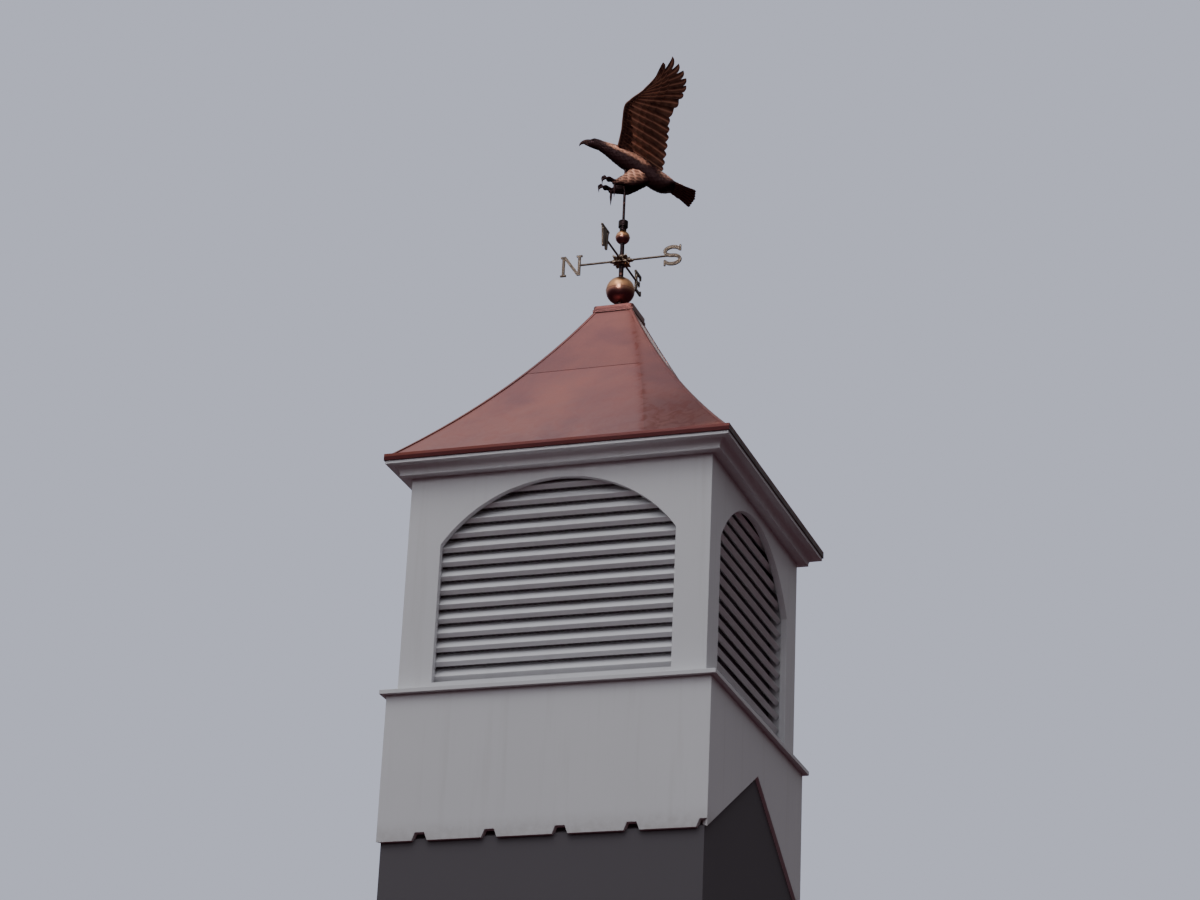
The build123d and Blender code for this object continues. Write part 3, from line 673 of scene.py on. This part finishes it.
class CUPOLA_OT_edges(bpy.types.Operator):
    """Dress the folded drip edge and the cap, and fold the box on the cap and the hem"""
    bl_idname = "cupola.edges"
    bl_label = "Drip edge and cap"

    def execute(self, context):
        sheet = bpy.data.materials["mill_copper_sheet"]
        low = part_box("drip_edge")[0]
        # The lower part of the folded edge is painted dark, as painted shade
        edge = mill_copper_sheet("folded_copper_edge", context.scene.cupola_copper.edge_colour, 0.45,
                                 fold=low.z + 0.0135)
        set_tone(dress("drip_edge", edge, 0.0006), [(1.0, 1.0, 1.0)])
        set_tone(dress("roof_cap", sheet, 0.0006), [(0.62, 0.62, 0.62)])
        # Folded box on the cap, soldered to a boot about the mast
        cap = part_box("roof_cap")[1]
        half, rise, bore = cap.x - 0.001, 0.0145, 0.0137
        turns = [math.tau * (step + 0.5) / 64 for step in range(64)]
        box = ((half, 0.0), (half, rise - 0.0012), (half - 0.0004, rise - 0.0004), (half - 0.0012, rise))
        boot = ((bore + 0.009, rise + 0.0012), (bore + 0.0028, rise + 0.0022), (bore + 0.0018, rise + 0.009),
                (bore, rise + 0.0095), (bore, 0.0))
        rings = []
        for square, profile in ((True, box), (False, boot), (True, box[:1])):
            for reach, level in profile:
                ring = []
                for x, y in ((math.cos(turn), math.sin(turn)) for turn in turns):
                    out = reach / max(abs(x), abs(y)) if square else reach
                    ring.append(Vector((x * out, y * out, cap.z + level)))
                rings.append(ring)
        upstand = Shape()
        upstand.add_rings(rings, ends=False)
        upstand.finish_piece("cap_upstand", sheet, "cupola", "roof_copper", tones=[(0.57, 0.53, 0.52)])
        # Hem rolled under the lower edge of the drip edge
        hem, radius = Shape(), 0.0021
        for turned in QUARTERS:
            roll = [(low.y + radius - out, low.z + radius + up) for out, up in circle(radius, 10)]
            hem.add_rings([[turned @ Vector((-end * y, y, z)) for y, z in roll] for end in (-1, 1)],
                          ends=False)
        hem.finish_piece("drip_edge_hem", edge, "cupola", "edge_copper", tones=[(0.8, 0.75, 0.72)])
        return {"FINISHED"}


# Mast and letters

def turned_rings(profile, centre, count):
    """Turn a profile of radius and height about the mast."""
    return [[Vector((x, y, centre + height)) for x, y in circle(radius, count)] for radius, height in profile]


class CUPOLA_OT_mast(bpy.types.Operator):
    """Dress the mast, balls and collar and solder the seams of the balls"""
    bl_idname = "cupola.mast"
    bl_label = "Mast and balls"

    def execute(self, context):
        copper = context.scene.cupola_copper
        spun = spun_copper(copper.ball_colour)
        steel = bronzed_steel(copper.rod_colour)
        for name in ("mast", "mast_collar", "vane_spindle"):
            dress(name, steel)
        shape, proud, half_seam = Shape(), 0.0007, 0.0016
        # The middle of each ball is a share of its radius above its cut underside
        for name, share in (("mast_ball", 0.954), ("small_ball", 0.925)):
            dress(name, spun)
            low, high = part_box(name)
            radius = (high.x - low.x) / 2
            profile = [(radius * 0.9985 + proud * math.sin(math.pi * step / 6), half_seam * (step / 3 - 1))
                       for step in range(7)]
            shape.add_rings(turned_rings(profile, low.z + radius * share, 64), ends=False)
        shape.finish_piece("ball_seams", spun, "cupola", "bright_copper")
        return {"FINISHED"}


class CUPOLA_OT_letters(bpy.types.Operator):
    """Cast the leafy hub and dress the four arms with their letters"""
    bl_idname = "cupola.letters"
    bl_label = "Compass letters"

    def execute(self, context):
        copper = context.scene.cupola_copper
        brass = cast_brass("cast_brass", copper.brass_colour)
        bare_brass = cast_brass("cast_brass_bare", [part * 2.1 for part in copper.brass_colour])
        for name in ("arm_north", "arm_south", "arm_east", "arm_west"):
            dress(name, brass, 0.0009)
        low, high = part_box("directional_hub")
        middle, tall, reach, bore = (low.z + high.z) / 2, (high.z - low.z) / 2, (high.x - low.x) / 2, 0.0079
        upper = ((0.0165, 0.005), (0.0125, 0.010), (0.0105, tall - 0.006), (0.0135, tall - 0.003),
                 (0.012, tall), (bore, tall))
        lower = [(radius, -height) for radius, height in reversed(upper)]
        shape = Shape()
        shape.add_rings(turned_rings([*lower, (0.0175, 0.0), *upper], middle, 40), ends=False)

        def leaf(heading, tilt, length, width, start, thick=0.0016):
            """Lay one pointed leaf with a raised vein, from the hub outwards."""
            turned = Matrix.Rotation(math.radians(heading), 4, "Z")
            rings = []
            for step in range(15):
                part = step / 14
                wavy = 1 + 0.16 * math.cos(part * 19)
                half = max(width * math.sin(math.pi * min(1.0, part * 0.86 + 0.14)) ** 0.8 * wavy, 0.0004)
                level = middle + math.tan(math.radians(tilt)) * length * part * (1 - 0.35 * part)
                ring = []
                for face in (1, -1):
                    for column in range(7):
                        side = (column / 3 - 1) * face
                        vein = 0.0012 * (1 - abs(side)) ** 2 - 0.003 * side**2
                        spot = Vector((start + length * part, side * half, level + vein + face * thick / 2))
                        ring.append((turned @ spot, 1 - abs(side), (0.0, 0.0)))
                rings.append(ring)
            shape.add_rings(rings)

        for quarter in range(4):
            leaf(quarter * 90, 0, reach - 0.004, 0.0115, 0.014)
            for tilt in (38, -38):
                leaf(45 + quarter * 90, tilt, 0.024, 0.0095, 0.012)
            for tilt in (46, -46):
                leaf(quarter * 90, tilt, 0.018, 0.008, 0.012)
        # Sleeves that take the arms
        sleeve = ((0.012, 0.0072), (0.026, 0.0058), (0.030, 0.0066), (reach - 0.003, 0.0060), (reach, 0.0048))
        for turned in QUARTERS:
            shape.add_rings([[turned @ Vector((out, y, middle + z)) for y, z in circle(radius, 20)]
                             for out, radius in sleeve])
        shape.finish_piece("leafy_hub", bare_brass, "cupola", "aged_brass", ("directional_hub",))
        return {"FINISHED"}


# Eagle

# Level of its middle, height of the shoulders over that, and its turns. Its spots are in millimetres
EAGLE_LEVEL, WING_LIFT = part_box("mast_collar")[1].z + 0.195, 0.044
YAW, PITCH, WING_RISE = math.radians(27), math.radians(22), math.radians(31)


def eagle_matrix():
    """Give the eagle's frame: x to the tail, -y the left wing, z out of the back."""
    tail = Vector((math.cos(PITCH) * math.cos(YAW), math.cos(PITCH) * math.sin(YAW), -math.sin(PITCH)))
    back = Vector((math.sin(PITCH) * math.cos(YAW), math.sin(PITCH) * math.sin(YAW), math.cos(PITCH)))
    side = back.cross(tail)
    turned = Matrix((tail, side, back)).transposed().to_4x4()
    return Matrix.Translation((0, 0, EAGLE_LEVEL)) @ turned


def add_limb(shape, place, spots, sides, worn):
    """Run a round limb through spots given as x, y, z and radius."""
    rings = []
    for number, (x, y, z, radius) in enumerate(spots):
        ahead, behind = spots[min(number + 1, len(spots) - 1)], spots[max(number - 1, 0)]
        way = (Vector(ahead[:3]) - Vector(behind[:3])).normalized()
        first = way.cross(Vector((0, 1, 0))).normalized()
        second = way.cross(first)
        rings.append([place @ ((Vector((x, y, z)) + first * out + second * up) / 1000)
                      for out, up in circle(max(radius, 0.3), sides)])
    shape.add_rings(rings, value=worn)


class CUPOLA_OT_eagle_body(bpy.types.Operator):
    """Raise the eagle's body, neck, head and hooked beak with overlapping feathers"""
    bl_idname = "cupola.eagle_body"
    bl_label = "Eagle body"

    def execute(self, context):
        eagle = context.scene.cupola_eagle
        copper = antiqued_copper(eagle.dark_colour, eagle.rubbed_and_painted_light_colour)
        place = eagle_matrix()
        # Place along the body, height of the middle, half height, half width
        table = ((-164, 41.5, 8, 6), (-161, 42, 13, 9.5), (-155, 44, 16.5, 13), (-146, 46.5, 18.5, 15.5),
                 (-134, 48.5, 19, 16), (-120, 50, 18.5, 16), (-105, 50, 20.5, 18), (-82, 49.5, 25.5, 22),
                 (-55, 47.5, 31.5, 27), (-20, 44.5, 36.5, 32), (25, 40.5, 39, 35), (70, 31, 37.5, 36),
                 (105, 22.5, 36, 37.5), (140, 19.5, 31.5, 39), (158, 21, 22.5, 40.5), (172, 24, 11, 42),
                 (182, 26, 3, 43))
        start, end, around, steps, columns = -164, 180, 14, 250, 112
        pitch, proud = eagle.scale_rows * 1000, eagle.scale_relief * 1000
        shape = Shape()
        rings = []
        for step in range(steps + 1):
            at = start + (end - start) * step / steps
            height, tall, wide = smooth_between(table, at)
            head = clip((-122 - at) / 22)
            ring = []
            for column in range(columns):
                angle = math.tau * column / columns
                side, up = math.sin(angle), math.cos(angle)
                from_top = abs(math.degrees(angle) - (360 if angle > math.pi else 0))
                relief = feather_scale(at / (pitch * (1 - 0.45 * head)), column / columns * around) * proud
                relief *= (1 - 0.7 * head) * clip((at - start) / 14) * clip((end - at) / 20)
                brow = 2.6 * bell(at + 150, 6.5) * bell(from_top - 52, 15)
                socket = -1.8 * bell(at + 151, 5) * bell(from_top - 76, 12)
                grow = relief + brow + socket
                spot = Vector((at, (wide + grow) * side, height + (tall + grow) * up))
                # Painted highlights: the flank band, nape, rump and crown are painted lighter where light
                # falls on them, over the wear on the feather crests
                flank = bell(from_top - 69, 17) * clip((at + 105) / 35, (82 - at) / 45)
                nape = bell(from_top, 58) * bell(at + 98, 26)
                rump = bell(from_top - 48, 34) * clip((at - 85) / 35, (186 - at) / 30)
                crown = 0.3 * bell(from_top, 50) * head
                painted_light_and_wear = flank + 1.15 * nape + 0.6 * rump + crown
                worn = min(1.0, painted_light_and_wear * (0.5 + 0.5 * relief / 1.4) + 0.04 * relief)
                ring.append((place @ (spot / 1000), worn, (at / 2.0, column)))
            rings.append(ring)
        shape.add_rings(rings)
        # Hooked upper beak, then the lower one: x, z, half height, half width
        beak = ((-156, 42.5, 13, 10.5), (-161, 42, 11.8, 8.6), (-168, 39.8, 10.6, 7.0), (-175, 36, 8.8, 5.4),
                (-181, 30.2, 6.7, 3.9), (-184.8, 23.5, 4.6, 2.6), (-186.2, 16.5, 2.6, 1.6),
                (-185.4, 11, 0.7, 0.5))
        table = [(key, *row) for key, row in enumerate(beak)]
        rings = []
        for step in range(36):
            x, z, tall, wide = smooth_between(table, step / 5)
            lean = math.radians(82 * (step / 35) ** 1.7)
            rings.append([place @ (Vector((x - up * tall * math.sin(lean), side * wide,
                                           z + up * tall * math.cos(lean))) / 1000)
                          for up, side in circle(1.0, 24)])
        shape.add_rings(rings, value=0.12)
        chin = [(-154, 0, 33, 6.5), (-162, 0, 31.5, 5.4), (-169, 0, 29.5, 3.8), (-173, 0, 27.5, 1.4)]
        add_limb(shape, place, chin, 16, 0.08)
        # Eyes under the brow
        for side in (-1, 1):
            rings = []
            for step in range(7):
                angle = math.pi / 2 * step / 6
                out = side * (12.6 + 2.6 * math.sin(angle))
                rings.append([place @ (Vector((-151.5 + x, out, 50 + z)) / 1000)
                              for x, z in circle(2.9 * math.cos(angle) + 0.05, 14)])
            shape.add_rings(rings)
        shape.finish_piece("eagle_plumage", copper, "vane", "eagle_copper", ("eagle_body",), sharp=75)
        return {"FINISHED"}


def add_feather(shape, to_place, root, tip, starts, bends, levels, worn, roll=0.05, thick=0.8, under=0.0):
    """Lay one feather with a raised quill, its edges bending at the shoulders towards a rounded tip."""
    way = (tip - root).normalized()
    across = Vector((way.y, -way.x))
    steps, shoulder, bow, quill, length = 16, 0.66, 1.6, 0.8, (tip - root).length

    def edge(side, part):
        """Follow the left or right edge of the vane."""
        start, bend = starts[side > 0], bends[side > 0]
        if part < shoulder:
            grown = part / shoulder
            return start + (bend - start) * grown + across * side * bow * math.sin(math.pi * grown)
        turn = math.pi / 2 * (part - shoulder) / (1 - shoulder)
        ahead = way * (tip - bend).dot(way)
        return bend + ahead * math.sin(turn) + (tip - bend - ahead) * (1 - math.cos(turn))

    rings = []
    for step in range(steps + 1):
        part = 1 - (1 - step / steps) ** 1.35
        low, high = edge(-1, part), edge(1, part)
        wide = max((high - low).length, 0.6)
        ring = []
        for face in (1, -1):
            for column in range(9):
                side = (column / 4 - 1) * face
                near = max(0.0, 1 - abs(side) * 3.2)
                spot = low + (high - low) * (0.5 + 0.5 * side)
                lift = levels[0] + (levels[1] - levels[0]) * part + (roll * side - 0.1 * side**2) * wide / 2
                lift += face * (thick / 2 + quill * near * (1 - 0.6 * part))
                # Painted light: the under share paints the lower face lighter
                lifted_underside = worn + (under if face < 0 else 0.0)
                mark = min(1.0, lifted_underside * (0.7 + 0.9 * near) + 0.5 * worn * part**3)
                ring.append((to_place(spot.x, spot.y, lift), mark,
                             ((part * length + abs(side) * wide * 0.4) / 2.2, side)))
        rings.append(ring)
    shape.add_rings(rings)


def add_feather_row(shape, to_place, row, reach, levels, lap=2.5, **look):
    """Lay a row of feathers side by side, each from its root towards its tip by a share of the way."""
    roots, tips, notches = ([Vector(spot) for spot in spots] for spots in row)
    between = [roots[0] * 1.5 - roots[1] * 0.5, *((a + b) / 2 for a, b in zip(roots, roots[1:])),
               roots[-1] * 1.5 - roots[-2] * 0.5]
    share = 1.0 if reach > 0.999 else reach * 0.88
    shoulders = [a + (b - a) * share for a, b in zip(between, notches)]
    for number, (root, tip) in enumerate(zip(roots, tips)):
        first, second = shoulders[number:number + 2]
        if number < len(roots) - 1:
            second = second + (second - first).normalized() * lap
        add_feather(shape, to_place, root, root + (tip - root) * reach, between[number:number + 2],
                    (first, second), levels, **look)


class CUPOLA_OT_eagle_wings(bpy.types.Operator):
    """Build both raised wings from flight feathers, rows of coverts and a feathered arm"""
    bl_idname = "cupola.eagle_wings"
    bl_label = "Eagle wings"

    def execute(self, context):
        copper = bpy.data.materials["antiqued_copper"]
        front_edge = ((8, -62), (28, -66), (96, -76), (146, -89), (190, -98), (214, -91), (271, -62),
                      (347, -38), (396, -35))
        # Feathers from the tip of the hand to the body: roots, tips, and the notch before each
        hand = (((-36, 322), (-40, 308), (-45, 294), (-50, 281), (-55, 269), (-60, 257), (-65, 245),
                 (-70, 233), (-75, 220)),
                ((-34, 404), (-14, 440), (16, 425), (41, 409), (61, 387), (71, 362), (75, 327), (72, 288),
                 (66, 250)),
                ((-38, 347), (-19, 381), (2, 390), (22, 383), (42, 371), (58, 353), (66, 329), (68, 304),
                 (66, 266), (56, 218)))
        arm = (((-80, 204), (-80, 184), (-75, 160), (-69, 134), (-62, 106), (-55, 76), (-48, 44)),
               ((70, 203), (80, 175), (89, 145), (97, 112), (105, 80), (112, 48), (116, 24)),
               ((56, 222), (67, 188), (75, 159), (82, 128), (90, 96), (98, 64), (106, 36), (100, 14)))
        for side, end in (("left", -1), ("right", 1)):
            turned = Matrix.Translation((0, 0, WING_LIFT)) @ Matrix.Rotation(end * WING_RISE, 4, "X")
            place = eagle_matrix() @ turned

            def to_place(run, reach, lift):
                camber = 9.0 * (1 - ((run - 9) / 115) ** 2) + 2.5
                return place @ (Vector((run, end * reach, camber + lift)) / 1000)

            shape = Shape()
            # The lower faces of the flight feathers are painted lighter, as painted light
            add_feather_row(shape, to_place, arm, 1.0, (0.5, 0.9), worn=0.12, roll=0.055, under=0.2)
            add_feather_row(shape, to_place, hand, 1.0, (0.2, 0.0), 1.5, worn=0.1, roll=0.055, under=0.21)
            # Greater, middle and lesser coverts over both faces, the upper ones with half again as much
            # painted highlight
            for face in (1, -1):
                for reach, high, worn in ((0.6, 1.5, 0.16), (0.42, 2.4, 0.22), (0.28, 3.2, 0.28)):
                    painted_light_and_wear = worn if face < 0 else worn * 1.5
                    for row, over, share, under in ((arm, 0.5, 1.0, 0.15), (hand, 0.4, 0.8, 0.17)):
                        add_feather_row(shape, to_place, row, reach, (face * (high + over), face * high),
                                        worn=painted_light_and_wear * share, thick=0.7, under=under)
            # Feathered arm along the front edge, swelling into the shoulder
            inner, outer, steps, columns = 8, 394, 160, 48
            rings = []
            for step in range(steps + 1):
                part = step / steps
                reach = inner + (outer - inner) * part
                lead = smooth_between(front_edge, reach)[0]
                chord = 58 * (1 - part) ** 0.75 + 8 + 26 * bell(reach - inner, 26)
                thick = 6.0 * (1 - part) ** 0.7 + 1.3 + 8.0 * bell(reach - inner, 24)
                ring = []
                for column in range(columns):
                    angle = math.tau * column / columns
                    run = 0.5 - 0.5 * math.cos(angle)
                    shifted = 0.3 if angle > math.pi else 0.0
                    relief = feather_scale(run * chord / 12.0, reach / 13.0 + shifted)
                    relief *= min(1.0, run * 5) * min(1.0, (1 - run) * 6)
                    body = thick * math.sin(angle) * (1 - 0.35 * run)
                    body += math.copysign(relief * 1.1, math.sin(angle))
                    edge = max(0.0, 1 - run * 9) * 0.35
                    ring.append((to_place(lead + run * chord, reach, body),
                                 min(1.0, 0.1 + edge + 0.14 * relief), (run * chord / 2.0, column)))
                rings.append(ring)
            shape.add_rings(rings)
            shape.finish_piece("eagle_%s_wing_plumage" % side, copper, "vane", "eagle_copper",
                               ("eagle_%s_wing" % side,), sharp=60)
        return {"FINISHED"}


class CUPOLA_OT_eagle_tail(bpy.types.Operator):
    """Spread the eagle's tail fan under its coverts"""
    bl_idname = "cupola.eagle_tail"
    bl_label = "Eagle tail"

    def execute(self, context):
        copper = bpy.data.materials["antiqued_copper"]
        place = eagle_matrix()
        count = context.scene.cupola_eagle.tail_feathers
        half, root_at, end_at = 67.0, 138, 255.0
        shape = Shape()

        def to_place(run, reach, lift):
            level = 28 + lift - 0.0009 * reach**2 - 0.06 * (run - root_at)
            return place @ (Vector((run, reach, level)) / 1000)

        joins = [-half + 2 * half * step / count for step in range(count + 1)]
        middles = [-half + 2 * half * (step + 0.5) / count for step in range(count)]
        notches = [(end_at - abs(y) * 0.12, y) for y in joins]
        tips = [(end_at + 6 - abs(y) * 0.12, y) for y in middles]
        fan = ([(root_at, y * 0.42) for y in middles], tips, notches)
        # The lower faces of the tail feathers are painted lighter, as painted light
        add_feather_row(shape, to_place, fan, 1.0, (0.4, 0.0), worn=0.1, thick=1.2, under=0.18)
        # A shorter row lies under the joins of the first
        shorter = ([(root_at, y * 0.42) for x, y in notches[1:-1]], [(x - 9, y) for x, y in notches[1:-1]],
                   [(x - 22, y * 0.97) for x, y in tips])
        add_feather_row(shape, to_place, shorter, 1.0, (-0.7, -0.9), worn=0.1, roll=0.0,
                        thick=0.9, under=0.14)
        # The upper coverts carry more painted highlight than the lower ones
        for face, painted_light_and_wear in ((1, 0.3), (-1, 0.12)):
            for reach, high in ((0.62, 1.4), (0.44, 2.8)):
                add_feather_row(shape, to_place, fan, reach, (face * (high + 1.5), face * high),
                                worn=painted_light_and_wear, thick=0.9, under=0.14)
        shape.finish_piece("eagle_tail_feathers", copper, "vane", "eagle_copper", ("eagle_tail",), sharp=60)
        return {"FINISHED"}


class CUPOLA_OT_eagle_legs(bpy.types.Operator):
    """Build the feathered thighs and the hooked talons"""
    bl_idname = "cupola.eagle_legs"
    bl_label = "Eagle legs"

    def execute(self, context):
        copper = bpy.data.materials["antiqued_copper"]
        place = eagle_matrix()
        shape = Shape()
        belly, apart_at_foot, top, steps, columns = 4.0, 20, -16, 84, 56
        for end, hang in ((-1, 75), (1, 90)):
            ankle, middle = belly - hang, end * apart_at_foot
            # Drop, place along, distance from the middle, half length, half width
            thigh = ((top, 60, 14, 39, 13), (0, 52, 16, 41, 12.5), (26, 39, 19, 37, 11.5),
                     (hang - 18, 15, 20, 29, 10.5), (hang - 3, -8, 20, 14.5, 8.5),
                     (hang + 4, -14, 20, 7.5, 6.5))
            rings = []
            for step in range(steps + 1):
                drop = top + (hang + 20) * step / steps
                along, apart, long, wide = smooth_between(thigh, drop)
                ring = []
                for column in range(columns):
                    angle = math.tau * column / columns
                    relief = feather_scale(drop / 11.0, column / columns * 8) * 2.0
                    spot = Vector((along + (long + relief) * math.cos(angle),
                                   end * apart + (wide + relief) * math.sin(angle), belly - drop))
                    # Painted highlight on the front and outer side of the thigh, fading out lower down
                    front = clip(0.65 * math.sin(angle) * end - 0.45 * math.cos(angle))
                    worn = 0.04 + 0.95 * front * (0.35 + 0.35 * relief) * clip(1.3 - drop / hang)
                    ring.append((place @ (spot / 1000), min(1.0, worn), (0.0, 0.0)))
                rings.append(ring)
            shape.add_rings(rings)
            # Three toes ahead and one behind, each ending in a claw
            claws = []
            for side, reach, drop in ((-11, -54, -22), (0, -60, -8), (11, -58, 4)):
                low, out = ankle + drop, middle + side * 1.1
                claws.append([(-6, middle, ankle + 6, 6.4), (-20, middle + side * 0.5, ankle + 6, 4.9),
                              (-31, middle + side * 0.8, ankle + 6, 4.0),
                              (-39, middle + side, ankle + 4, 4.7),
                              ((reach - 39) / 2 - 1, middle + side, (ankle + low + 16) / 2, 3.4),
                              (reach, out, low + 10, 3.8), (reach - 1, out, low + 2, 2.3),
                              (reach + 4, out, low - 8, 0.5)])
            claws.append([(-12, middle, ankle + 8, 5.8), (-11, middle, ankle - 6, 4.2),
                          (-6, middle, ankle - 20, 4.4), (0, middle, ankle - 34, 2.6),
                          (6, middle, ankle - 50, 0.6)])
            for claw in claws:
                table = [(key, *row) for key, row in enumerate(claw)]
                smooth = [smooth_between(table, number / 5) for number in range(len(claw) * 5 - 4)]
                add_limb(shape, place, smooth, 14, 0.03)
        shape.finish_piece("eagle_feet", copper, "vane", "eagle_copper", ("eagle_legs",), sharp=75)
        return {"FINISHED"}


# Stage

def stage_piece(name, finish, corners, faces):
    """Make a plain piece of the stage."""
    mesh = bpy.data.meshes.new(name)
    mesh.from_pydata(corners, [], faces)
    mesh.materials.append(finish)
    piece = bpy.data.objects.new(name, mesh)
    bpy.context.scene.collection.objects.link(piece)
    # Little light comes from below the piece, so the stage throws none up at it
    piece.visible_diffuse = piece.visible_glossy = False
    return piece


class CUPOLA_OT_stage(bpy.types.Operator):
    """Set the floor, the stand, the soft lights and the camera"""
    bl_idname = "cupola.stage"
    bl_label = "Stage"

    def execute(self, context):
        scene = context.scene
        floor_level, wide, base = -3.3, 30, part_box("base_front")[1].x
        outline = ((-wide, -wide), (wide, -wide), (wide, wide), (-wide, wide))
        corners = [(x, y, floor_level) for x, y in outline]
        floor = stage_piece("studio_floor", matt_backdrop("matt_floor", "#DEDEE0"), corners, [(0, 1, 2, 3)])
        # The stand carries the cupola above the low camera and fills the saddle of its side boards
        half, ridge = base - 0.012, 0.3102
        edge = ridge * (1 - half / base) - 0.001
        outline = ((-half, floor_level), (half, floor_level), (half, edge), (0, ridge), (-half, edge))
        corners = [(x, y, z) for x in (-half, half) for y, z in outline]
        faces = [(4, 3, 2, 1, 0), (5, 6, 7, 8, 9)]
        faces += [(step, (step + 1) % 5, (step + 1) % 5 + 5, step + 5) for step in range(5)]
        stand = stage_piece("studio_stand", matt_backdrop("matt_stand", "#5E5A5E"), corners, faces)

        # Soft light as from a tent: bright overhead and on the front left, dim on the right, dark below.
        # The backdrop that shows is one even tone
        world = bpy.data.worlds.new("studio_air")
        world.use_nodes = True
        tree = world.node_tree
        way = add_node(tree, "TexCoord").outputs["Generated"]
        front = add_node(tree, "VectorMath", {"operation": "DOT_PRODUCT"}, {0: way, 1: (-0.46, -0.53, 0.71)})
        part = add_node(tree, "MapRange", inputs={"Value": front.outputs["Value"], "From Min": -1.0})
        curve = add_node(tree, "Math", {"operation": "POWER"}, {0: part.outputs[0], 1: 1.9})
        tent = add_node(tree, "Math", {"operation": "MULTIPLY_ADD"}, {0: curve.outputs[0], 1: 1.88, 2: 0.08})
        height = add_node(tree, "SeparateXYZ", inputs={0: way}).outputs["Z"]
        above = add_node(tree, "MapRange", SMOOTH, {"Value": height, "From Min": -0.06, "From Max": 0.38})
        cloth = add_node(tree, "VectorMath", {"operation": "SCALE"},
                         {0: linear("#C6C8CE"), "Scale": tent.outputs[0]})
        lit = add_node(tree, "Mix", COLOURS,
                       {0: above.outputs[0], 6: shade(linear("#40292F")), 7: cloth.outputs[0]})
        seen = add_node(tree, "LightPath").outputs["Is Camera Ray"]
        air = add_node(tree, "Mix", COLOURS, {0: seen, 6: lit.outputs[2], 7: shade(linear("#C0C4D6"))})
        tree.links.new(air.outputs[2], tree.nodes["Background"].inputs["Color"])
        scene.world = world
        # The gridded light reaches only the vane and its balls, under the raised wing
        for name, spot, aim, size, power, grid in (("key_light", (-1.0, -5.2, 8.9), 1.3, 4.4, 200.0, 180),
                                                   ("back_light", (-3.0, 8.0, 5.0), 1.3, 4.0, 60.0, 180),
                                                   ("gridded_light", (0.8, -8.6, 4.95), 2.5, 1.4, 4.3, 14)):
            light = bpy.data.lights.new(name, "AREA")
            light.shape = "SQUARE"
            light.size = size
            light.energy = power
            light.spread = math.radians(grid)
            lamp = bpy.data.objects.new(name, light)
            lamp.location = spot
            lamp.rotation_euler = (Vector((0, 0, aim)) - Vector(spot)).to_track_quat("-Z", "Y").to_euler()
            scene.collection.objects.link(lamp)

        # The camera stands low, 19 degrees right of the front, and leans 2.6 degrees as the photograph does
        view = bpy.data.cameras.new("low_view")
        view.sensor_width = 36.0
        view.lens = 92.0
        view.clip_end = 200.0
        camera = bpy.data.objects.new("low_view", view)
        right = Vector((0.94775, 0.31618, 0.04236))
        up = Vector((0.08475, -0.37758, 0.92209))
        turned = Matrix((right, up, right.cross(up))).transposed().to_4x4()
        camera.matrix_world = Matrix.Translation((3.1349, -9.0061, -2.4935)) @ turned
        scene.collection.objects.link(camera)
        scene.camera = camera
        return {"FINISHED"}


class CUPOLA_PT_panel(bpy.types.Panel):
    """Sizes, colours and pieces of the cupola"""
    bl_idname = "CUPOLA_PT_panel"
    bl_label = "Garage cupola"
    bl_space_type = "VIEW_3D"
    bl_region_type = "UI"
    bl_category = "Cupola"

    def draw(self, context):
        for group in (context.scene.cupola_trim, context.scene.cupola_copper, context.scene.cupola_eagle):
            box = self.layout.box()
            for key in group.__annotations__:
                box.prop(group, key)
        for step in STEPS:
            self.layout.operator(step.bl_idname)


GROUPS = (("cupola_trim", CupolaTrimSettings), ("cupola_copper", CupolaCopperSettings),
          ("cupola_eagle", CupolaEagleSettings))
STEPS = (CUPOLA_OT_trim, CUPOLA_OT_louvres, CUPOLA_OT_screens, CUPOLA_OT_framing, CUPOLA_OT_roof,
         CUPOLA_OT_edges, CUPOLA_OT_mast, CUPOLA_OT_letters, CUPOLA_OT_eagle_body, CUPOLA_OT_eagle_wings,
         CUPOLA_OT_eagle_tail, CUPOLA_OT_eagle_legs, CUPOLA_OT_stage)


def register():
    for name, group in GROUPS:
        bpy.utils.register_class(group)
        setattr(bpy.types.Scene, name, PointerProperty(type=group))
    for step in STEPS:
        bpy.utils.register_class(step)
    bpy.utils.register_class(CUPOLA_PT_panel)


def unregister():
    bpy.utils.unregister_class(CUPOLA_PT_panel)
    for step in reversed(STEPS):
        bpy.utils.unregister_class(step)
    for name, group in reversed(GROUPS):
        delattr(bpy.types.Scene, name)
        bpy.utils.unregister_class(group)


def main():
    register()
    for step in STEPS:
        family, name = step.bl_idname.split(".")
        getattr(getattr(bpy.ops, family), name)()


if __name__ == "__main__":
    main()
